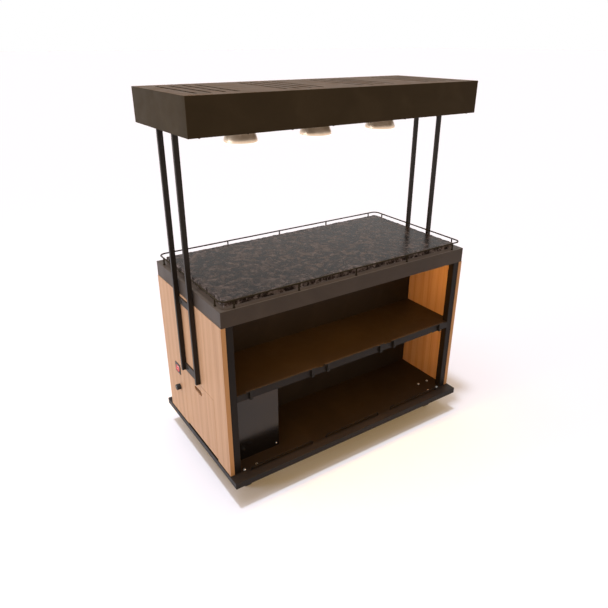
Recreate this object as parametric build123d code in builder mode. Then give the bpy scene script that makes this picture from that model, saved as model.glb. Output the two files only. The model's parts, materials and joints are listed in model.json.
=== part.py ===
from build123d import *
import os
from math import cos, radians, sin

# Hot food display counter with a heated slab, two-sided shelves and a canopy of heat lamps.
# Millimetres, +Z up, +X along the counter, the serving front faces -Y.
# The origin is on the floor under the middle of the counter.

os.makedirs("parts", exist_ok=True)

# Counter body: its width follows from the canopy, the widest part
counter_d = 604.0
body_h = 716.0
fascia_h = 63.0
frame_sheet = 2.0
lip_w = 31.0

# Outer radius of every folded sheet edge
bend = 1.5

# Casters
caster_h = 104.0
caster_inset_x = 96.0
caster_inset_y = 90.5
caster_trail = 22.0
plate_w = 78.0
plate_d = 88.0
plate_t = 3.0
bolt_spacing_x = 57.0
bolt_spacing_y = 66.0
bolt_r = 4.0
bolt_head_r = 6.0
bolt_head_h = 3.5
bolt_head_round = 2.4
nut_r = 6.5
nut_h = 5.0
kingpin_r = 5.0
kingpin_head_r = 8.0
kingpin_head_h = 3.5
race_r = 23.0
plate_race_h = 8.0
race_gap = 0.3
crown_t = 3.0
crown_race_h = 10.7
wheel_r = 37.5
wheel_w = 30.0
tyre_w = 28.0
tyre_t = 9.5
tyre_round = 4.0
hub_r = 11.0
hub_dish = 5.0
axle_r = 4.0
axle_head_r = 6.5
axle_head_h = 4.0
fork_t = 2.5
fork_gap = 0.5
fork_half_top = 24.0
fork_half_foot = 10.0
fork_foot_round = 9.0
fork_clear = 60.0
brake_reach = 52.0
brake_z = 72.0
brake_barrel_r = 4.0
brake_pin_r = 2.0
brake_pedal_l = 30.0
brake_pedal_t = 3.0
brake_shoe_h = 10.0
brake_shoe_t = 5.0
brake_shoe_out = 1.0
running_gap = 0.05

# Base tray and the tubes under it
base_proud = 5.0
base_d = 705.0
base_h = 26.0
base_sheet = 3.0
base_corner = 3.0
rail_tube_w = 100.0
cross_tube_w = 60.0
cross_tubes = 4
tube_wall = 3.0
hole_gap = 0.2

# Steel uprights and upper ring
upright = 30.0
upright_wall = 2.0
upright_bend = 2.0
ring_h = 25.0

# Wood side panels
panel_t = 18.0
panel_proud = 2.0
panel_edge = 0.6

# Access hatch in the left panel
hatch_w = 297.0
hatch_h = 294.0
hatch_y = -41.5
hatch_gap = 1.5
hatch_floor_gap = 2.0
slot_w = 70.0
slot_h = 24.0
slot_drop = 28.0
pivot_r = 3.0
pivot_in_panel = 10.0
pivot_in_door = 15.0
pivot_end_gap = 0.5
catch_w = 40.0
catch_t = 12.0
catch_h = 26.0
catch_lap = 11.0
catch_round = 2.0
strike_w = 30.0
strike_h = 8.0
strike_t = 1.5

# Rocker switch and turning knob on the left panel
control_y = 169.0
switch_z = 390.0
bezel_w = 52.0
bezel_h = 46.0
bezel_t = 3.0
bezel_edge = 1.2
switch_body_w = 45.0
switch_body_h = 40.0
switch_body_t = 32.0
switch_cut_gap = 0.5
window_w = 34.0
window_h = 29.0
window_deep = 15.0
rocker_w = 33.2
rocker_h = 24.8
rocker_pivot_deep = 6.0
rocker_mid_out = 8.5
rocker_end_out = 10.0
rocker_back_h = 17.0
rocker_back_in = 4.0
rocker_tilt = 8.0
trunnion_r = 2.0
trunnion_l = 1.8
trunnion_end_gap = 0.1
knob_z = 295.0
knob_r = 13.0
knob_t = 18.0
knob_off = 1.0
knob_grips = 12
knob_grip_r = 1.6
knob_edge = 1.2
shaft_r = 3.0
shaft_in = 24.0
shaft_end_gap = 1.0
bushing_r = 4.8
bushing_hole_r = 5.0
bushing_l = 16.0
stat_w = 50.0
stat_h = 40.0
stat_t = 28.0

# Housing for the electrical parts, in the lower left bay
housing_w = 244.0
housing_side_gap = 32.0
housing_h = 328.0
housing_sheet = 1.5
housing_flange = 15.0
driver_w = 45.0
driver_d = 160.0
driver_h = 30.0
driver_edge = 3.0
terminal_w = 35.0
terminal_d = 60.0
terminal_h = 40.0
terminal_poles = 5
terminal_pitch = 11.0
terminal_slot = 6.0
terminal_slot_deep = 12.0
gland_from_panel = 134.0
gland_from_wall = 88.0
gland_thread_r = 10.0
gland_nut_r = 14.0
gland_nut_h = 6.0
gland_body_h = 16.0
gland_bore_r = 4.5

# Shelf
shelf_z = 489.0
shelf_sheet = 2.0
shelf_lip_h = 29.0
shelf_return = 12.0
shelf_side_gap = 0.5
cleat = 20.0
cleat_t = 2.0
cleat_end_gap = 10.0

# Upright partitions between the front and the back bays
partition_t = 6.0

# Flat-bar stops on the shelf lip
stop_count = 3
stop_end_gap = 36.0
stop_space = 38.0
stop_bar_h = 4.0
stop_edge = 0.8
stop_out = 10.0
stop_rise = 11.0
stop_bracket_w = 12.0
stop_bracket_inset = 19.5

# Wire stops on the deck edge
wire_count = 3
wire_end_gap = 40.0
wire_space = 73.0
wire_rise = 12.0
wire_r = 2.75
wire_bend = 8.0
wire_edge_inset = 41.5

# Heated top
slab_t = 30.0
slab_gap = 1.0
slab_edge = 1.0
lip_turn = 8.0
hot_plate_t = 4.0
pan_h = 19.0
pan_sheet = 1.5
pan_gap = 1.0
board_t = 10.0
board_gap = 1.0
element_r = 3.5
element_runs = 6
element_end_gap = 63.0
element_side_gap = 74.0

# Wire rail round the slab
gallery_r = 3.0
gallery_inset = 11.0
gallery_h = 29.5
gallery_bend = 26.0
gallery_front_legs = 5
gallery_leg_inset = 49.0
gallery_side_leg_inset = 51.0
ferrule_r = 5.0
ferrule_h = 2.5

# Canopy posts
post_w = 20.0
post_d = 13.0
post_wall = 1.5
post_spacing = 138.0
post_foot_z = 438.0
crossbar_t = 6.0
crossbar_low_h = 34.0
crossbar_high_h = 28.0
crossbar_high_drop = 8.0

# Canopy: its ends stand proud of the posts
canopy_w = 1274.0
canopy_d = 482.0
canopy_h = 124.0
canopy_overhang = 15.0
canopy_clear = 569.0
canopy_sheet = 2.0
canopy_flange = 16.0
floor_sheet = 1.5
floor_gap = 1.0
post_hole_gap = 0.5
vent_l = 350.0
vent_w = 12.0
vent_pitch = 50.0
vents_per_group = 4
vent_groups = 4
vent_end_gap = 67.0

# Heat lamps
lamp_count = 3
lamp_end_gap = 304.0
lamp_r = 62.5
lamp_drop = 75.0
lamp_h = 158.0
lamp_face_h = 15.0
lamp_flat_r = 53.0
lamp_rim_h = 3.0
lamp_belt_h = 1.0
lamp_bowl_h = 110.0
lamp_bowl_rise = 22.0
lamp_waist_r = 30.0
lamp_waist_h = 60.0
lamp_neck_r = 19.0
lamp_stem_r = 13.0
lamp_stem_h = 13.0
cap_r = 13.2
cap_h = 27.0
holder_r = 21.0
holder_gap = 0.5
holder_cover = 5.0
bridge_w = 40.0
bridge_t = 4.0
bridge_end_gap = 26.0
trim_out_r = 80.0
trim_in_r = 66.0
trim_t = 2.0
trim_collar_h = 12.0
trim_collar_t = 1.5
trim_hole_gap = 0.5

# Light strips under the worktop and under the shelf
light_end_gap = 54.0
light_w = 18.0
light_h = 12.0
light_back = 2.0
diffuser_t = 2.5
diffuser_inset = 2.0

# Levels and faces that the pieces share
base_under_z = caster_h
base_top_z = base_under_z + base_h
lip_z = base_top_z + body_h
fascia_low_z = lip_z - fascia_h
plate_top_z = lip_z - lip_turn
pan_top_z = plate_top_z - hot_plate_t
pan_low_z = pan_top_z - pan_h
ring_low_z = pan_low_z - ring_h
canopy_low_z = lip_z + canopy_clear
canopy_top_z = canopy_low_z + canopy_h
post_out_x = canopy_w / 2 - canopy_overhang
panel_out_x = post_out_x - post_w
panel_in_x = panel_out_x - panel_t
counter_w = 2 * (panel_out_x - panel_proud)
base_w = counter_w + 2 * base_proud
upright_in_x = panel_in_x - upright
upright_out_y = counter_d / 2 - frame_sheet
upright_in_y = upright_out_y - upright
caster_x = base_w / 2 - caster_inset_x
caster_y = base_d / 2 - caster_inset_y
rail_in_y = caster_y - rail_tube_w / 2
opening_x = counter_w / 2 - lip_w
opening_y = counter_d / 2 - lip_w
housing_y = upright_in_y - housing_side_gap
gland_x = gland_from_panel - panel_in_x
gland_y = housing_y - gland_from_wall

TURN = {"x": (0, 90, 0), "y": (90, 0, 0), "z": (0, 0, 0)}
CORNERS = {"fl": (-1, -1), "fr": (1, -1), "bl": (-1, 1), "br": (1, 1)}
FACES = {"front": -1, "back": 1}


def save(piece, label):
    """Name a finished piece and write it."""
    piece.part.label = label
    export_step(piece.part, f"parts/{label}.step")


def block(xs, ys, zs, mode=Mode.ADD):
    """Add or cut a square block that spans the three given ranges, in either order."""
    middle = ((xs[0] + xs[1]) / 2, (ys[0] + ys[1]) / 2, (zs[0] + zs[1]) / 2)
    with Locations(middle):
        Box(abs(xs[1] - xs[0]), abs(ys[1] - ys[0]), abs(zs[1] - zs[0]), mode=mode)


def rod(start, radius, length, along="z", mode=Mode.ADD):
    """Add or cut a round bar from a start point, forwards along one axis."""
    step = {"x": (length / 2, 0, 0), "y": (0, length / 2, 0), "z": (0, 0, length / 2)}[along]
    middle = tuple(s + d for s, d in zip(start, step))
    with Locations(middle):
        Cylinder(radius, length, rotation=TURN[along], mode=mode)


def spread(count, pitch):
    """Places of evenly spaced pieces about zero."""
    return [(i - (count - 1) / 2) * pitch for i in range(count)]


def bolt_places():
    """The four bolt centres of every caster plate."""
    return [
        (sx * caster_x + bx * bolt_spacing_x / 2, sy * caster_y + by * bolt_spacing_y / 2)
        for sx, sy in CORNERS.values()
        for bx in (-1, 1)
        for by in (-1, 1)
    ]


# Base tray: a flat sheet with a turned-down skirt all round
with BuildPart() as base_tray:
    half_w, half_d = base_w / 2, base_d / 2
    block((-half_w, half_w), (-half_d, half_d), (base_under_z, base_top_z))
    fillet(base_tray.edges().filter_by(Axis.Z), base_corner)
    fillet(base_tray.faces().sort_by(Axis.Z)[-1].edges(), bend)
    block(
        (-half_w + base_sheet, half_w - base_sheet),
        (-half_d + base_sheet, half_d - base_sheet),
        (base_under_z, base_top_z - base_sheet),
        mode=Mode.SUBTRACT,
    )
    for bolt_x, bolt_y in bolt_places():
        rod((bolt_x, bolt_y, base_under_z), bolt_r + hole_gap, base_h, mode=Mode.SUBTRACT)
    rod((gland_x, gland_y, base_under_z), gland_thread_r, base_h, mode=Mode.SUBTRACT)
save(base_tray, "base_tray")

# Base frame: two wide tubes along the counter and four across, welded flat under the tray
frame_end_x = base_w / 2 - base_sheet
frame_top_z = base_top_z - base_sheet
cross_xs = spread(cross_tubes, 2 * caster_x / (cross_tubes - 1))
with BuildPart() as base_frame:
    for sy in (-1, 1):
        ys = (sy * caster_y - rail_tube_w / 2, sy * caster_y + rail_tube_w / 2)
        block((-frame_end_x, frame_end_x), ys, (base_under_z, frame_top_z))
    for cross_x in cross_xs:
        xs = (cross_x - cross_tube_w / 2, cross_x + cross_tube_w / 2)
        block(xs, (-rail_in_y, rail_in_y), (base_under_z, frame_top_z))
    inner_zs = (base_under_z + tube_wall, frame_top_z - tube_wall)
    for sy in (-1, 1):
        half = rail_tube_w / 2 - tube_wall
        ys = (sy * caster_y - half, sy * caster_y + half)
        block((-frame_end_x, frame_end_x), ys, inner_zs, mode=Mode.SUBTRACT)
    for cross_x in cross_xs:
        half = cross_tube_w / 2 - tube_wall
        block((cross_x - half, cross_x + half), (-rail_in_y, rail_in_y), inner_zs, mode=Mode.SUBTRACT)
    for bolt_x, bolt_y in bolt_places():
        rod((bolt_x, bolt_y, base_under_z), bolt_r + hole_gap, base_h, mode=Mode.SUBTRACT)
save(base_frame, "base_frame")

# Caster bolts: a domed head on the deck, a shank down through tray and tube, a nut under the plate
bolt_low_z = base_under_z - plate_t - nut_h
with BuildPart() as caster_bolts:
    for bolt_x, bolt_y in bolt_places():
        rod((bolt_x, bolt_y, bolt_low_z), bolt_r, base_top_z - bolt_low_z)
        rod((bolt_x, bolt_y, base_top_z), bolt_head_r, bolt_head_h)
    head_edges = caster_bolts.edges().filter_by(GeomType.CIRCLE).group_by(Axis.Z)[-1]
    fillet(head_edges, bolt_head_round)
    with BuildSketch(Plane.XY.offset(bolt_low_z)):
        with Locations(bolt_places()):
            RegularPolygon(nut_r, 6)
    extrude(amount=nut_h)
save(caster_bolts, "caster_bolts")

# Caster plates: a bolted plate, the fixed upper race and the king pin that the fork turns on
race_low_z = base_under_z - plate_t - plate_race_h
crown_race_top_z = race_low_z - race_gap
crown_top_z = crown_race_top_z - crown_race_h
crown_low_z = crown_top_z - crown_t
with BuildPart() as caster_plates:
    for sx, sy in CORNERS.values():
        cx, cy = sx * caster_x, sy * caster_y
        xs = (cx - plate_w / 2, cx + plate_w / 2)
        ys = (cy - plate_d / 2, cy + plate_d / 2)
        block(xs, ys, (base_under_z - plate_t, base_under_z))
        rod((cx, cy, race_low_z), race_r, plate_race_h)
        rod((cx, cy, crown_low_z), kingpin_r, race_low_z - crown_low_z)
        head_z = crown_low_z - race_gap - kingpin_head_h
        rod((cx, cy, head_z), kingpin_r, race_gap + kingpin_head_h)
        rod((cx, cy, head_z), kingpin_head_r, kingpin_head_h)
    for bolt_x, bolt_y in bolt_places():
        rod((bolt_x, bolt_y, base_under_z - plate_t), bolt_r + hole_gap, plate_t, mode=Mode.SUBTRACT)
save(caster_plates, "caster_plates")

fork_in_x = wheel_w / 2 + fork_gap
fork_out_x = fork_in_x + fork_t


def caster_fork(cx, cy, trail, braked):
    """The swivelling fork: crown, lower race, two cheeks, the axle, and a pin for the pedal."""
    sense = 1 if trail > 0 else -1
    wheel_y = cy + trail
    with BuildPart() as fork:
        rod((cx, cy, crown_top_z), race_r, crown_race_h)
        crown_ys = (cy - sense * fork_half_top, wheel_y + sense * fork_half_foot)
        block((cx - fork_out_x, cx + fork_out_x), crown_ys, (crown_low_z, crown_top_z))
        cheek = [
            (cy - sense * fork_half_top, crown_top_z),
            (cy - sense * fork_half_top, crown_low_z - crown_t),
            (wheel_y - sense * fork_half_foot, wheel_r - fork_half_foot),
            (wheel_y + sense * fork_half_foot, wheel_r - fork_half_foot),
            (wheel_y + sense * fork_half_foot, crown_top_z),
        ]
        if braked:
            ear_y = cy + sense * brake_reach
            cheek[4:4] = [
                (ear_y + sense * brake_barrel_r, brake_z - brake_barrel_r),
                (ear_y + sense * brake_barrel_r, brake_z + brake_barrel_r),
            ]
        with BuildSketch(Plane.YZ.offset(cx)) as side:
            with BuildLine():
                Polyline(*cheek, close=True)
            make_face()
            fillet(side.vertices().group_by(Axis.Y)[0], fork_foot_round)
        extrude(amount=fork_out_x, both=True)
        block(
            (cx - fork_in_x, cx + fork_in_x),
            (cy - fork_clear, cy + fork_clear),
            (0, crown_low_z),
            mode=Mode.SUBTRACT,
        )
        crown_bore_h = crown_race_top_z - crown_low_z
        rod((cx, cy, crown_low_z), kingpin_r + running_gap, crown_bore_h, mode=Mode.SUBTRACT)
        rod((cx - fork_out_x, wheel_y, wheel_r), axle_r, 2 * fork_out_x, "x")
        for head_x in (cx - fork_out_x - axle_head_h, cx + fork_out_x):
            rod((head_x, wheel_y, wheel_r), axle_head_r, axle_head_h, "x")
        if braked:
            rod((cx - fork_out_x, ear_y, brake_z), brake_pin_r, 2 * fork_out_x, "x")
    return fork


def caster_hub(cx, wheel_y):
    """The wheel's hub: a dished disc with a running bore on the axle."""
    rim_r = wheel_r - tyre_t
    with BuildPart() as hub:
        rod((cx - wheel_w / 2, wheel_y, wheel_r), hub_r, wheel_w, "x")
        rod((cx - tyre_w / 2, wheel_y, wheel_r), rim_r, tyre_w, "x")
        for side_x in (cx - tyre_w / 2, cx + tyre_w / 2 - hub_dish):
            with BuildSketch(Plane.YZ.offset(side_x)):
                with Locations((wheel_y, wheel_r)):
                    Circle(rim_r - hub_dish)
                    Circle(hub_r, mode=Mode.SUBTRACT)
            extrude(amount=hub_dish, mode=Mode.SUBTRACT)
        rod((cx - wheel_w / 2, wheel_y, wheel_r), axle_r + running_gap, wheel_w, "x", mode=Mode.SUBTRACT)
    return hub


def caster_tyre(cx, wheel_y):
    """The rubber tread ring with rounded shoulders, seated on the hub's rim."""
    with BuildPart() as tyre:
        rod((cx - tyre_w / 2, wheel_y, wheel_r), wheel_r, tyre_w, "x")
        fillet(tyre.edges().filter_by(GeomType.CIRCLE), tyre_round)
        rod((cx - tyre_w / 2, wheel_y, wheel_r), wheel_r - tyre_t, tyre_w, "x", mode=Mode.SUBTRACT)
    return tyre


def caster_brake(cx, cy, sense):
    """The foot pedal: a barrel on the fork's pin, a tread plate outwards and a shoe downwards."""
    ear_y = cy + sense * brake_reach
    half = fork_in_x - fork_gap
    with BuildPart() as brake:
        rod((cx - half, ear_y, brake_z), brake_barrel_r, 2 * half, "x")
        pedal_ys = (ear_y, ear_y + sense * (brake_barrel_r + brake_pedal_l))
        block((cx - half, cx + half), pedal_ys, (brake_z, brake_z + brake_pedal_t))
        shoe_ys = (ear_y + sense * brake_shoe_out, ear_y + sense * (brake_shoe_out + brake_shoe_t))
        block((cx - half, cx + half), shoe_ys, (brake_z - brake_shoe_h, brake_z))
        rod((cx - half, ear_y, brake_z), brake_pin_r + running_gap, 2 * half, "x", mode=Mode.SUBTRACT)
    return brake


# Every caster trails towards the middle of the counter, and the front two have a brake pedal
for corner, (sx, sy) in CORNERS.items():
    place_x, place_y = sx * caster_x, sy * caster_y
    trail_y = -sy * caster_trail
    save(caster_fork(place_x, place_y, trail_y, sy < 0), f"caster_fork_{corner}")
    save(caster_hub(place_x, place_y + trail_y), f"caster_hub_{corner}")
    save(caster_tyre(place_x, place_y + trail_y), f"caster_tyre_{corner}")
    if sy < 0:
        save(caster_brake(place_x, place_y, 1), f"caster_brake_{corner}")

# Corner uprights: square tubes from the deck to the upper ring
with BuildPart() as corner_posts:
    for sx, sy in CORNERS.values():
        block(
            (sx * upright_in_x, sx * panel_in_x),
            (sy * upright_in_y, sy * upright_out_y),
            (base_top_z, ring_low_z),
        )
    fillet(corner_posts.edges().filter_by(Axis.Z), upright_bend)
    for sx, sy in CORNERS.values():
        block(
            (sx * (upright_in_x + upright_wall), sx * (panel_in_x - upright_wall)),
            (sy * (upright_in_y + upright_wall), sy * (upright_out_y - upright_wall)),
            (base_top_z, ring_low_z),
            mode=Mode.SUBTRACT,
        )
save(corner_posts, "corner_posts")

# Upper ring: four tubes welded into a rectangle on top of the uprights
with BuildPart() as upper_ring:
    ring_zs = (ring_low_z, pan_low_z)
    block((-panel_in_x, panel_in_x), (-upright_out_y, upright_out_y), ring_zs)
    block((-upright_in_x, upright_in_x), (-upright_in_y, upright_in_y), ring_zs, mode=Mode.SUBTRACT)
    void_zs = (ring_low_z + upright_wall, pan_low_z - upright_wall)
    for sy in (-1, 1):
        block(
            (-panel_in_x + upright_wall, panel_in_x - upright_wall),
            (sy * (upright_in_y + upright_wall), sy * (upright_out_y - upright_wall)),
            void_zs,
            mode=Mode.SUBTRACT,
        )
    for sx in (-1, 1):
        block(
            (sx * (upright_in_x + upright_wall), sx * (panel_in_x - upright_wall)),
            (-upright_in_y, upright_in_y),
            void_zs,
            mode=Mode.SUBTRACT,
        )
save(upper_ring, "upper_ring")

# Access hatch sizes, shared by the left panel and the door
door_low_z = base_top_z + hatch_floor_gap
door_top_z = door_low_z + hatch_h
door_ys = (hatch_y - hatch_w / 2, hatch_y + hatch_w / 2)
pivot_x = -(panel_in_x + panel_t / 2)
pivot_z = door_low_z + panel_t / 2

# Left side panel: wood, with the hatch opening, the switch cut-out, the knob hole and pivot holes
with BuildPart() as side_panel_left:
    panel_zs = (base_top_z, fascia_low_z)
    block((-panel_out_x, -panel_in_x), (-counter_d / 2, counter_d / 2), panel_zs)
    chamfer(side_panel_left.edges().filter_by(Axis.Z).group_by(Axis.X)[0], panel_edge)
    block(
        (-panel_out_x, -panel_in_x),
        (door_ys[0] - hatch_gap, door_ys[1] + hatch_gap),
        (base_top_z, door_top_z + hatch_gap),
        mode=Mode.SUBTRACT,
    )
    cut_w = switch_body_w / 2 + switch_cut_gap
    cut_h = switch_body_h / 2 + switch_cut_gap
    block(
        (-panel_out_x, -panel_in_x),
        (control_y - cut_w, control_y + cut_w),
        (switch_z - cut_h, switch_z + cut_h),
        mode=Mode.SUBTRACT,
    )
    rod((-panel_out_x, control_y, knob_z), bushing_hole_r, panel_t, "x", mode=Mode.SUBTRACT)
    pivot_hole_l = pivot_in_panel
    rod((pivot_x, door_ys[1] + hatch_gap, pivot_z), pivot_r, pivot_hole_l, "y", mode=Mode.SUBTRACT)
    low_hole_y = door_ys[0] - hatch_gap - pivot_hole_l
    rod((pivot_x, low_hole_y, pivot_z), pivot_r, pivot_hole_l, "y", mode=Mode.SUBTRACT)
save(side_panel_left, "side_panel_left")

# Right side panel: the same board without openings
with BuildPart() as side_panel_right:
    block((panel_in_x, panel_out_x), (-counter_d / 2, counter_d / 2), (base_top_z, fascia_low_z))
    chamfer(side_panel_right.edges().filter_by(Axis.Z).group_by(Axis.X)[-1], panel_edge)
save(side_panel_right, "side_panel_right")

# Hatch door: flush board, round bottom edge about its pivots, finger slot near the top
slot_z = door_top_z - slot_drop - slot_h / 2
with BuildPart() as hatch_door:
    block((-panel_out_x, -panel_in_x), door_ys, (pivot_z, door_top_z))
    rod((pivot_x, door_ys[0], pivot_z), panel_t / 2, hatch_w, "y")
    with BuildSketch(Plane.YZ.offset(-panel_out_x)):
        with Locations((hatch_y, slot_z)):
            SlotOverall(slot_w, slot_h)
    extrude(amount=panel_t, mode=Mode.SUBTRACT)
    bore_r = pivot_r + running_gap
    rod((pivot_x, door_ys[0], pivot_z), bore_r, pivot_in_door, "y", mode=Mode.SUBTRACT)
    rod((pivot_x, door_ys[1] - pivot_in_door, pivot_z), bore_r, pivot_in_door, "y", mode=Mode.SUBTRACT)
    strike_low_z = door_top_z - strike_h - strike_t
    block(
        (-panel_in_x - strike_t, -panel_in_x),
        (hatch_y - strike_w / 2, hatch_y + strike_w / 2),
        (strike_low_z, strike_low_z + strike_h),
        mode=Mode.SUBTRACT,
    )
save(hatch_door, "hatch_door")

# Strike plate: let into the back of the door, opposite the magnet catch
with BuildPart() as hatch_strike:
    block(
        (-panel_in_x - strike_t, -panel_in_x),
        (hatch_y - strike_w / 2, hatch_y + strike_w / 2),
        (strike_low_z, strike_low_z + strike_h),
    )
save(hatch_strike, "hatch_strike")

# Pivot pins: pressed into the panel, running in the door's lower corners
pin_l = pivot_in_panel + hatch_gap + pivot_in_door
with BuildPart() as hatch_pivots:
    rod((pivot_x, door_ys[1] - pivot_in_door + pivot_end_gap, pivot_z), pivot_r, pin_l - pivot_end_gap, "y")
    rod((pivot_x, low_hole_y, pivot_z), pivot_r, pin_l - pivot_end_gap, "y")
save(hatch_pivots, "hatch_pivots")

# Magnet catch: screwed to the back of the panel over the opening, lapping behind the door
catch_low_z = door_top_z - catch_lap
with BuildPart() as hatch_catch:
    block(
        (-panel_in_x, -panel_in_x + catch_t),
        (hatch_y - catch_w / 2, hatch_y + catch_w / 2),
        (catch_low_z, catch_low_z + catch_h),
    )
    back_edges = hatch_catch.faces().sort_by(Axis.X)[-1].edges()
    fillet(back_edges, catch_round)
save(hatch_catch, "hatch_catch")

# Rocker switch body: bezel outside, box behind the panel, a well with two side bores for the rocker
pivot_in_x = -panel_out_x + rocker_pivot_deep
with BuildPart() as switch_body:
    block(
        (-panel_out_x - bezel_t, -panel_out_x),
        (control_y - bezel_w / 2, control_y + bezel_w / 2),
        (switch_z - bezel_h / 2, switch_z + bezel_h / 2),
    )
    outer_edges = switch_body.faces().sort_by(Axis.X)[0].edges()
    chamfer(outer_edges, bezel_edge)
    block(
        (-panel_out_x, -panel_out_x + switch_body_t),
        (control_y - switch_body_w / 2, control_y + switch_body_w / 2),
        (switch_z - switch_body_h / 2, switch_z + switch_body_h / 2),
    )
    block(
        (-panel_out_x - bezel_t, -panel_out_x + window_deep),
        (control_y - window_w / 2, control_y + window_w / 2),
        (switch_z - window_h / 2, switch_z + window_h / 2),
        mode=Mode.SUBTRACT,
    )
    bore_l = rocker_w + 2 * (trunnion_l + trunnion_end_gap)
    rod(
        (pivot_in_x, control_y - bore_l / 2, switch_z),
        trunnion_r + running_gap,
        bore_l,
        "y",
        mode=Mode.SUBTRACT,
    )
save(switch_body, "switch_body")


def tilted(out, up, tilt):
    """A point of the rocker's side view, turned about its pivot: X and Z in the counter's frame."""
    angle = radians(tilt)
    turned_out = out * cos(angle) - up * sin(angle)
    turned_up = out * sin(angle) + up * cos(angle)
    return (pivot_in_x - turned_out, switch_z + turned_up)


# Rocker: two shallow slopes that meet over the pivot, resting with its upper end pressed in
with BuildPart() as switch_rocker:
    half_h = rocker_h / 2
    rocker_side = [
        tilted(rocker_end_out, -half_h, rocker_tilt),
        tilted(rocker_mid_out, 0, rocker_tilt),
        tilted(rocker_end_out, half_h, rocker_tilt),
        tilted(0, half_h, rocker_tilt),
        tilted(-rocker_back_in, rocker_back_h / 2, rocker_tilt),
        tilted(-rocker_back_in, -rocker_back_h / 2, rocker_tilt),
        tilted(0, -half_h, rocker_tilt),
    ]
    with BuildSketch(Plane.XZ.offset(-control_y)):
        with BuildLine():
            Polyline(*rocker_side, close=True)
        make_face()
    extrude(amount=rocker_w / 2, both=True)
    trunnion_span = rocker_w + 2 * trunnion_l
    rod((pivot_in_x, control_y - trunnion_span / 2, switch_z), trunnion_r, trunnion_span, "y")
save(switch_rocker, "switch_rocker")

# Thermostat body: a box behind the panel with a bushing through it
stat_front_x = -panel_in_x
with BuildPart() as thermostat_body:
    block(
        (stat_front_x, stat_front_x + stat_t),
        (control_y - stat_w / 2, control_y + stat_w / 2),
        (knob_z - stat_h / 2, knob_z + stat_h / 2),
    )
    rod((stat_front_x - bushing_l, control_y, knob_z), bushing_r, bushing_l, "x")
    rod(
        (stat_front_x - bushing_l, control_y, knob_z),
        shaft_r + running_gap,
        bushing_l + shaft_in,
        "x",
        mode=Mode.SUBTRACT,
    )
save(thermostat_body, "thermostat_body")

# Turning knob with its shaft
knob_back_x = -panel_out_x - knob_off
knob_face_x = knob_back_x - knob_t
with BuildPart() as thermostat_knob:
    rod((knob_face_x, control_y, knob_z), knob_r, knob_t, "x")
    face_edge = thermostat_knob.edges().filter_by(GeomType.CIRCLE).sort_by(Axis.X)[0]
    chamfer(face_edge, knob_edge)
    with BuildSketch(Plane.YZ.offset(knob_face_x)):
        with Locations((control_y, knob_z)):
            with PolarLocations(knob_r, knob_grips):
                Circle(knob_grip_r)
    extrude(amount=knob_t, mode=Mode.SUBTRACT)
    shaft_l = stat_front_x + shaft_in - shaft_end_gap - knob_back_x
    rod((knob_back_x, control_y, knob_z), shaft_r, shaft_l, "x")
save(thermostat_knob, "thermostat_knob")

# Service housing: sheet walls on three sides and a top, flanged on to the left panel
house_in_x = -panel_in_x
house_out_x = house_in_x + housing_w
house_zs = (base_top_z, base_top_z + housing_h)
with BuildPart() as service_housing:
    block((house_in_x, house_out_x), (-housing_y, housing_y), house_zs)
    fillet(service_housing.edges().filter_by(Axis.Z).group_by(Axis.X)[-1], housing_sheet)
    fillet(service_housing.faces().sort_by(Axis.Z)[-1].edges().sort_by(Axis.X)[1:], housing_sheet)
    block(
        (house_in_x + housing_sheet, house_out_x - housing_sheet),
        (-housing_y + housing_sheet, housing_y - housing_sheet),
        (house_zs[0], house_zs[1] - housing_sheet),
        mode=Mode.SUBTRACT,
    )
    block(
        (house_in_x, house_in_x + housing_sheet),
        (-housing_y + housing_flange, housing_y - housing_flange),
        (house_zs[0], house_zs[1] - housing_flange),
        mode=Mode.SUBTRACT,
    )
save(service_housing, "service_housing")

# Light driver: a long low box on the deck inside the housing
with BuildPart() as light_driver:
    driver_x = house_out_x - housing_sheet
    driver_zs = (base_top_z, base_top_z + driver_h)
    block((driver_x - driver_w, driver_x), (-driver_d / 2, driver_d / 2), driver_zs)
    fillet(light_driver.edges().filter_by(Axis.Y).group_by(Axis.Z)[-1], driver_edge)
save(light_driver, "light_driver")

# Terminal block: on the housing's side wall, with one wire slot for each pole
terminal_z = base_top_z + housing_h / 2
with BuildPart() as terminal_block:
    terminal_zs = (terminal_z - terminal_h / 2, terminal_z + terminal_h / 2)
    block((driver_x - terminal_w, driver_x), (-terminal_d / 2, terminal_d / 2), terminal_zs)
    for pole_y in spread(terminal_poles, terminal_pitch):
        block(
            (driver_x - terminal_w, driver_x - terminal_w + terminal_slot_deep),
            (pole_y - terminal_slot / 2, pole_y + terminal_slot / 2),
            terminal_zs,
            mode=Mode.SUBTRACT,
        )
save(terminal_block, "terminal_block")

# Cord gland: through the deck inside the housing, its dome pointing down under the base
with BuildPart() as cord_gland:
    gland_low_z = base_top_z - base_sheet - gland_body_h
    rod((gland_x, gland_y, gland_low_z), gland_thread_r, gland_body_h + base_sheet + gland_nut_h)
    for nut_z in (base_top_z, base_top_z - base_sheet - gland_nut_h):
        with BuildSketch(Plane.XY.offset(nut_z)):
            with Locations((gland_x, gland_y)):
                RegularPolygon(gland_nut_r, 6)
        extrude(amount=gland_nut_h)
    gland_l = gland_body_h + base_sheet + gland_nut_h
    rod((gland_x, gland_y, gland_low_z), gland_bore_r, gland_l, mode=Mode.SUBTRACT)
save(cord_gland, "cord_gland")

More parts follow.
